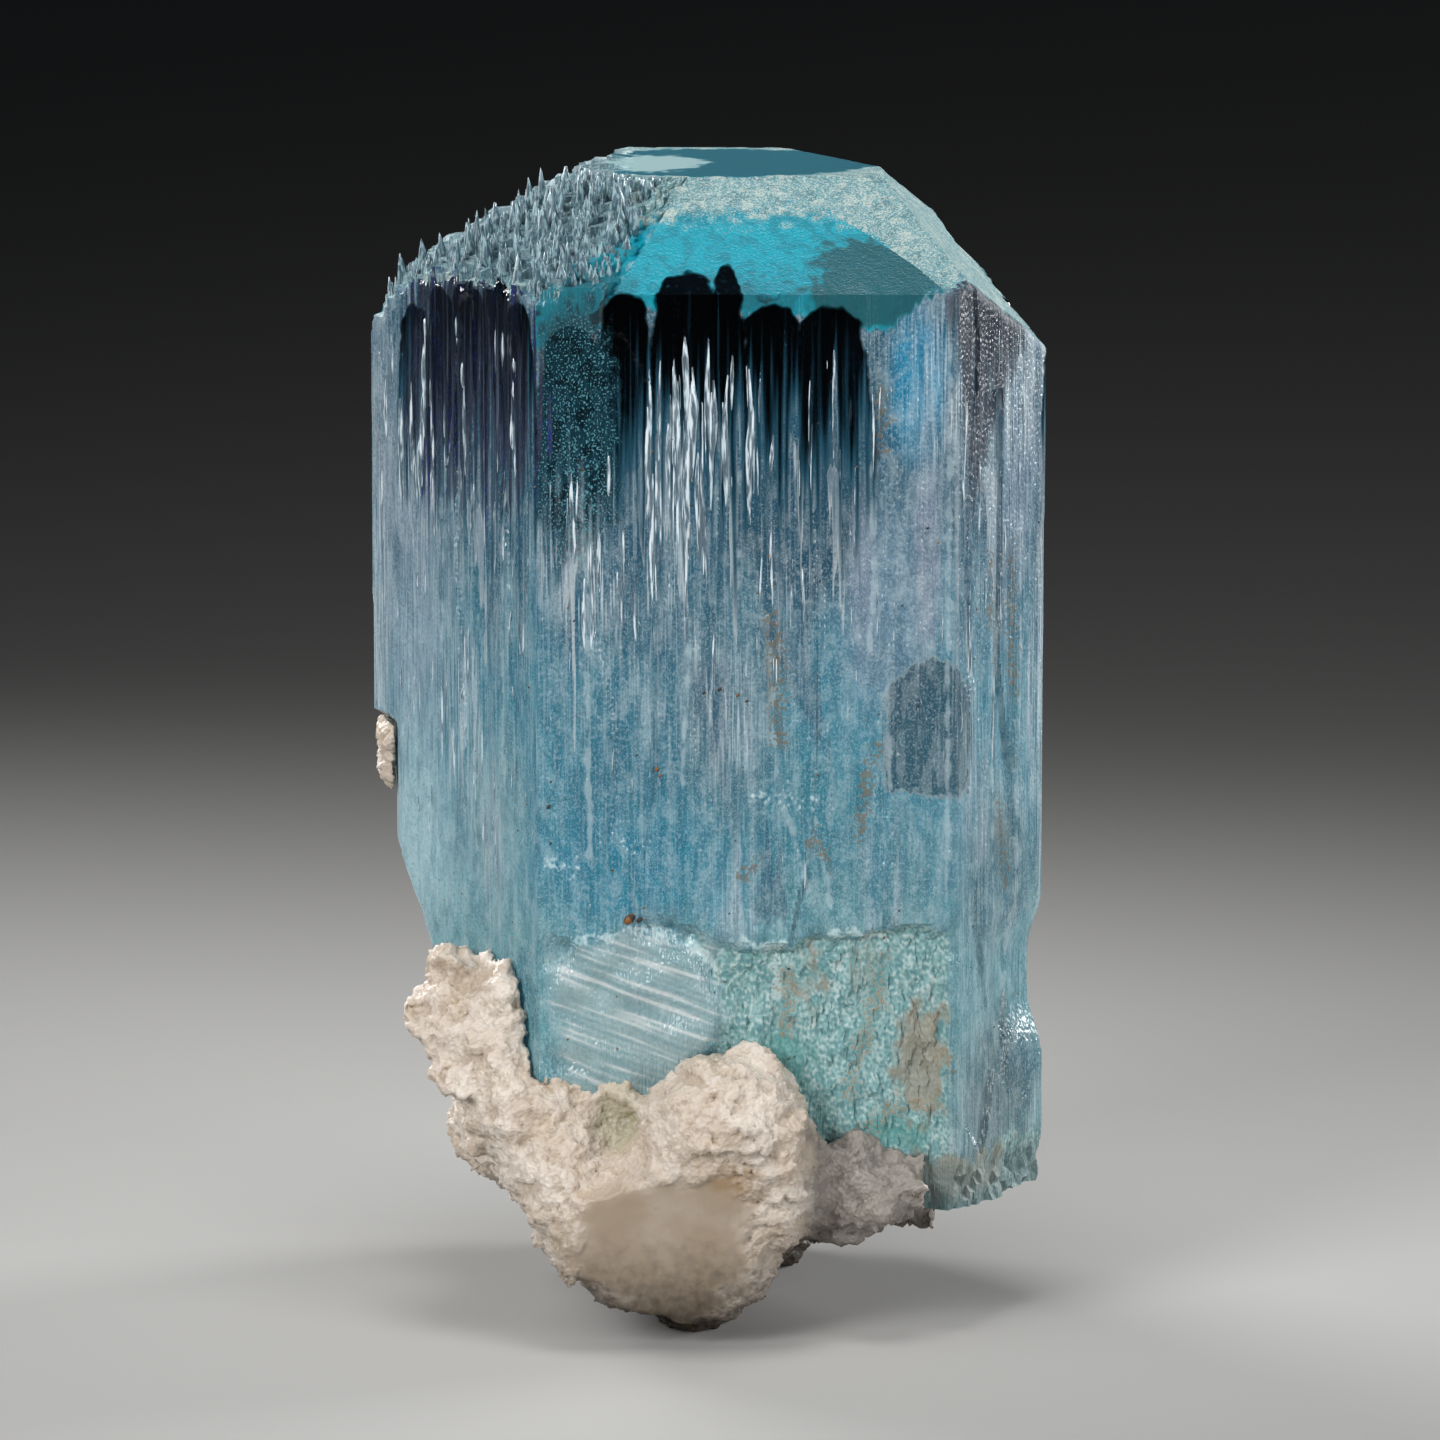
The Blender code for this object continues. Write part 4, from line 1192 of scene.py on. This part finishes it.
# %% Finishes for tubes, teeth and grains
hollow, tree, shader, place = new_finish("hollow etch tube")
frosty = grain(tree, place, (0.25, 0.25, 2.5), 2.0)
plug(
    tree,
    shader,
    {
        "Base Color": layers(tree, linear("#829CAB"), (((frosty, 0.42, 0.66), "#D3DEE4"),)),
        "Roughness": 0.25,
        "Transmission Weight": share(tree, (frosty, 0.6, 0.42, 0.7)),
        "IOR": BERYL_IOR,
    },
)
frosted_tooth, tree, shader, place = new_finish("frosted beryl tooth")
frosty = grain(tree, place, (0.3, 0.3, 0.8), 2.0)
plug(
    tree,
    shader,
    {
        "Base Color": layers(tree, linear("#2C5564"), (((frosty, 0.45, 0.62), "#8AACB4"),)),
        "Roughness": 0.5,
        "Transmission Weight": 0.25,
        "IOR": BERYL_IOR,
    },
)
rusty, tree, shader, place = new_finish("rusty iron oxide")
ochre = share(tree, (grain(tree, place, (1.5, 1.5, 1.5), 1.0), 0.5, 0.6))
rust = layers(tree, linear("#2B221D"), ((ochre, "#7A5020"),))
plug(tree, shader, {"Base Color": rust, "Roughness": 0.6})
for piece, finish in ((etch_tubes, hollow), (inner_tubes, hollow), (etch_teeth, frosted_tooth)):
    piece.data.materials.append(finish)
    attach(piece, "root")
iron_grains.data.materials.append(rusty)
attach(iron_grains, "root")
print("finishes:", [finish.name for finish in (hollow, frosted_tooth, rusty)])

# %% [markdown]
# ## The albite
#
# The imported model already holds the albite's chunks, blades and split face. A copy of it gets a
# finer skin: its loose triangles are joined, a voxel remesh gives it even small faces, and each
# point then moves along its normal by a sum of noises, from lumps down to grains like sugar.

# %% A finer skin for the albite
CLEAVAGE_CENTRE, CLEAVAGE_SIZE = (-2.0, -28.6, 9.6), (26.0, 9.0, 17.4)
CLEAVAGE_LEAN, CLEAVAGE_TURN = 13.0, 3.0
MATRIX_VOXEL, BEAD_VOXEL = 0.34, 0.2  # about the size of a face


def fine_copy(node, name, voxel):
    """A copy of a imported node, remade with faces of one voxel's size."""
    bm = bmesh.new()
    bm.from_mesh(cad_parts[node].data)
    bmesh.ops.remove_doubles(bm, verts=bm.verts, dist=1e-6)
    bmesh.ops.recalc_face_normals(bm, faces=bm.faces)
    mesh = bpy.data.meshes.new(name)
    bm.to_mesh(mesh)
    bm.free()
    made = bpy.data.objects.new(name, mesh)
    bpy.context.scene.collection.objects.link(made)
    remesh = made.modifiers.new("even", "REMESH")
    remesh.mode = "VOXEL"
    remesh.voxel_size = voxel * MM
    shown = made.evaluated_get(bpy.context.evaluated_depsgraph_get())
    even = bpy.data.meshes.new_from_object(shown)
    made.modifiers.clear()
    made.data = even
    even.polygons.foreach_set("use_smooth", np.ones(len(even.polygons), bool))
    return made


def read_points(obj):
    """(points in millimetres, unit normals) of a mesh."""
    count = len(obj.data.vertices)
    points, normals = np.empty(count * 3), np.empty(count * 3)
    obj.data.vertices.foreach_get("co", points)
    obj.data.vertices.foreach_get("normal", normals)
    return points.reshape(-1, 3) / MM, normals.reshape(-1, 3)


def crumb(points):
    """Height of the albite's crumbs: blocks of three sizes, each with an even face that leans
    its own way. The cells follow a direction that wanders, as stacks of blades do."""
    x, y, z = points.T
    sway = smooth_noise(x / 9, y / 9, z / 9)
    a = x + 1.5 * sway
    b = y - 1.5 * sway
    c = z + 1.2 * smooth_noise(x / 7 + 9, y / 7, z / 7)
    level, _, lean = cells(a / 3.0, b / 3.0, c / 2.2)
    small, _, small_lean = cells(a / 1.5 + 7, b / 1.5, c / 1.1)
    tiny, _, tiny_lean = cells(a / 0.8, b / 0.8 + 3, c / 0.7)
    blocks = 0.3 * (level - 0.6) + 0.2 * (small - 0.6) + 0.14 * (tiny - 0.5)
    return blocks + 0.42 * lean + 0.36 * small_lean + 0.24 * tiny_lean


def split_face(points):
    """(points, share): points near the split plane and inside its outline move onto it, and
    the share says how far each belongs to it. The plane is one side of a leaning block."""
    lean, turn = math.radians(CLEAVAGE_LEAN), math.radians(CLEAVAGE_TURN)
    c, s = math.cos(lean), math.sin(lean)
    tilt = np.array([[1, 0, 0], [0, c, -s], [0, s, c]])
    c, s = math.cos(turn), math.sin(turn)
    spin = np.array([[c, -s, 0], [s, c, 0], [0, 0, 1]])
    frame_of = spin @ tilt
    half = np.array(CLEAVAGE_SIZE) / 2
    local = (points - np.array(CLEAVAGE_CENTRE)) @ frame_of
    behind = local[:, 1] - half[1]
    inside = 1 - np.hypot(local[:, 0] / (0.72 * half[0]), (local[:, 2] + 0.6) / (0.98 * half[2]))
    wobble = 0.2 * smooth_noise(*(points.T / 2.6)) + 0.1 * smooth_noise(*(points.T / 0.9))
    share = smooth_step(0.0, 0.3, inside + wobble) * smooth_step(2.6, 1.2, np.abs(behind))
    local[:, 1] = half[1] + behind * (1 - 0.9 * share)
    return local @ frame_of.T + np.array(CLEAVAGE_CENTRE), share


def settle(obj, points, node):
    """Moves a mesh's points to new places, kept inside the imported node's box, and returns them."""
    low, high = (np.array(corner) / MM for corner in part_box(node))
    points = points.clip(low, high)
    obj.data.vertices.foreach_set("co", (points * MM).ravel())
    obj.data.update()
    return points


def near(points, centre, radii):
    """Share of a soft blob: 1 at its centre, 0 outside its radii."""
    return smooth_step(1.0, 0.4, np.linalg.norm((points - centre) / radii, axis=1))


matrix = fine_copy("albite_matrix", "albite_crumbs", MATRIX_VOXEL)
at, normal = read_points(matrix)
at, split = split_face(at)
lift = crumb(at) * (1 - 0.9 * split)
at = settle(matrix, at + lift[:, None] * normal, "albite_matrix")
give_field(matrix, "split", split)
give_field(matrix, "spot", near(at, (4.0, -24, 16.2), (3.6, 5, 2.4)))
# a greenish tint with painted shade, in the recess beside the crystal
give_field(matrix, "olive_and_shade", 0.8 * near(at, (-6.2, -17, 19.5), (4.2, 5, 6.5)))
give_field(matrix, "shelf", smooth_step(9.4, 11.4, at[:, 0] + smooth_noise(*(at.T / 1.5))))
give_field(matrix, "height", lift)
print("the albite:", len(matrix.data.polygons), "faces")

bead = fine_copy("albite_patch", "albite_bead", BEAD_VOXEL)
at, normal = read_points(bead)
lift = 0.9 * crumb(at)
settle(bead, at + lift[:, None] * normal, "albite_patch")
for name in ("split", "spot", "olive_and_shade", "shelf"):
    give_field(bead, name, 0 * lift)
give_field(bead, "height", lift)
print("the bead:", len(bead.data.polygons), "faces")

# %% [markdown]
# Albite is white. Painted shade darkens it to tan in its creases and to dark brown towards its
# foot, and a greenish tint with painted shade lies in the recess beside the crystal. Light sinks a
# millimetre into it, so its edges glow softly, and its surface glitters like coarse sugar. The
# flat split face is smooth and greyer. Real sugar grains are finer still.

# %% The albite's finish
ALBITE_IOR = 1.53
SUGAR_GRAIN, GRAIN_HEIGHT = 0.45, 0.3
GLOW_DEPTH = 1.2  # how far light sinks in, and red light the farthest
albite, tree, shader, place = new_finish("sugary white albite")
split, spot, olive_and_shade, shelf, height = (
    add(tree, "Attribute", {}, "Fac", attribute_name=name)
    for name in ("split", "spot", "olive_and_shade", "shelf", "height")
)
mottle = grain(tree, place, (5.0, 5.0, 5.0), 3.0)
dust = grain(tree, place, (0.9, 0.9, 0.9), 3.0, 4.0)
colour = layers(
    tree,
    linear("#C0B4A8"),
    (
        ((mottle, 0.42, 0.66, 0.5), "#B5A48F"),
        ((mottle, 0.52, 0.34, 0.5), "#D6CDC2"),
        # painted shade: the low places between crumbs, in the creases, are darker tan
        ((height, 0.0, -0.5, 0.5), "#9B866C"),
        ((dust, 0.60, 0.72, 0.45), "#A08868"),
        # a greenish tint, darkened as painted shade, in the recess beside the crystal
        ((olive_and_shade, 0.1, 0.9, 0.8), "#A39D82"),
        (split, 0.8, "#9B8B78"),
        (split, (mottle, 0.35, 0.7, 0.6), "#93826C"),
        (spot, (dust, 0.3, 0.6, 0.8), "#8E7350"),
        (shelf, 0.8, "#716D69"),
        # painted shade: darker towards the foot, nearly dark brown at the floor
        ((moved(tree, height_in_mm(tree, place), (dust, 3.0)), 12.0, 1.0, 0.95), "#2C2216"),
    ),
)
sugar = add(tree, "TexVoronoi", {"Vector": place, "Scale": 1 / (SUGAR_GRAIN * MM)})
sugar = add(tree, "Math", {0: sugar, 1: dust}, operation="ADD")
sugar = share(tree, sugar, (split, 1.0, 0.2))
bump = add(tree, "Bump", {"Height": sugar, "Strength": 0.5, "Distance": GRAIN_HEIGHT * MM})
plug(
    tree,
    shader,
    {
        "Base Color": colour,
        "Roughness": 0.5,
        "Normal": bump,
        "IOR": ALBITE_IOR,
        "Subsurface Weight": 0.2,
        "Subsurface Scale": GLOW_DEPTH * MM,
        "Subsurface Radius": (1.0, 0.8, 0.6),
    },
)
print("albite:", len(tree.nodes), "nodes")
for piece, node in ((matrix, "albite_matrix"), (bead, "albite_patch")):
    piece.data.materials.clear()
    piece.data.materials.append(albite)
    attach(piece, "root")
    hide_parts(node)

# %% [markdown]
# ## Floor, lights and camera
#
# The specimen stands on pale matt paper, which takes a soft shadow and gives no reflection. Four
# softboxes surround it and one hangs above, as an even light shows both the clear windows and the
# grain of the albite. The camera looks slightly down, with a long lens that keeps edges parallel.

# %% Floor, lights and camera
HALF_FLOOR = 4000.0
corners = [(x * HALF_FLOOR, y * HALF_FLOOR, 0) for x, y in ((-1, -1), (1, -1), (1, 1), (-1, 1))]
floor = mesh_object("floor", corners, [(0, 1, 2, 3)])
paper, tree, shader, place = new_finish("pale matt paper")
plug(tree, shader, {"Base Color": linear("#9E9D9B"), "Roughness": 0.9})
floor.data.materials.append(paper)
floor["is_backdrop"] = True

TARGET = np.array((2.52, -8.0, 54.7))
DISTANCE, ELEVATION = 900.0, math.radians(10)


def aim(obj, place, target):
    """Puts an object at a place in millimetres and points its -Z at the target."""
    obj.location = Vector(place) * MM
    obj.rotation_euler = (Vector(target) - Vector(place)).to_track_quat("-Z", "Y").to_euler()
    bpy.context.scene.collection.objects.link(obj)


lens = bpy.data.cameras.new("camera")
lens.lens = 250
lens.sensor_width = 36
camera = bpy.data.objects.new("camera", lens)
away = DISTANCE * np.array((0, -math.cos(ELEVATION), math.sin(ELEVATION)))
aim(camera, TARGET + away, TARGET)
bpy.context.scene.camera = camera

SOFTBOX_SPREAD = 70  # degrees: a grid on each softbox keeps its light off the far floor
MIDDLE = (2, -4, 50)
# Softboxes of white light: (name, place, side in millimetres, watts).
SOFTBOXES = (
    ("key", (-300, -380, 260), 220, 0.42),
    ("fill", (400, -340, 150), 220, 0.24),
    ("top", (0, -60, 420), 140, 0.12),
    ("back", (-260, 300, 220), 200, 0.3),
    ("edge", (360, 180, 160), 160, 0.28),
)
for name, where, side, watts in SOFTBOXES:
    lamp = bpy.data.lights.new(name, "AREA")
    lamp.size = side * MM
    lamp.energy = watts
    lamp.spread = math.radians(SOFTBOX_SPREAD)
    aim(bpy.data.objects.new(name, lamp), where, MIDDLE)

world = bpy.data.worlds.new("studio")
world.use_nodes = True
sky = world.node_tree.nodes["Background"]
plug(world.node_tree, sky, {"Color": linear("#8A8F96"), "Strength": 0.05})
bpy.context.scene.world = world
bpy.context.scene.view_settings.view_transform = "Standard"
print("camera:", [round(v, 3) for v in camera.location], "m, and", len(SOFTBOXES), "softboxes")

# %% [markdown]
# ## Size
#
# The fine surfaces must not outgrow the plain model that they stand for, so the last cell
# writes down both boxes, and they can be compared.

# %% Size
full_box = [list(corner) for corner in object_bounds()]
for name, box in (("CAD", cad_box), ("visual", full_box)):
    print(name, [[round(v / MM, 2) for v in corner] for corner in box])
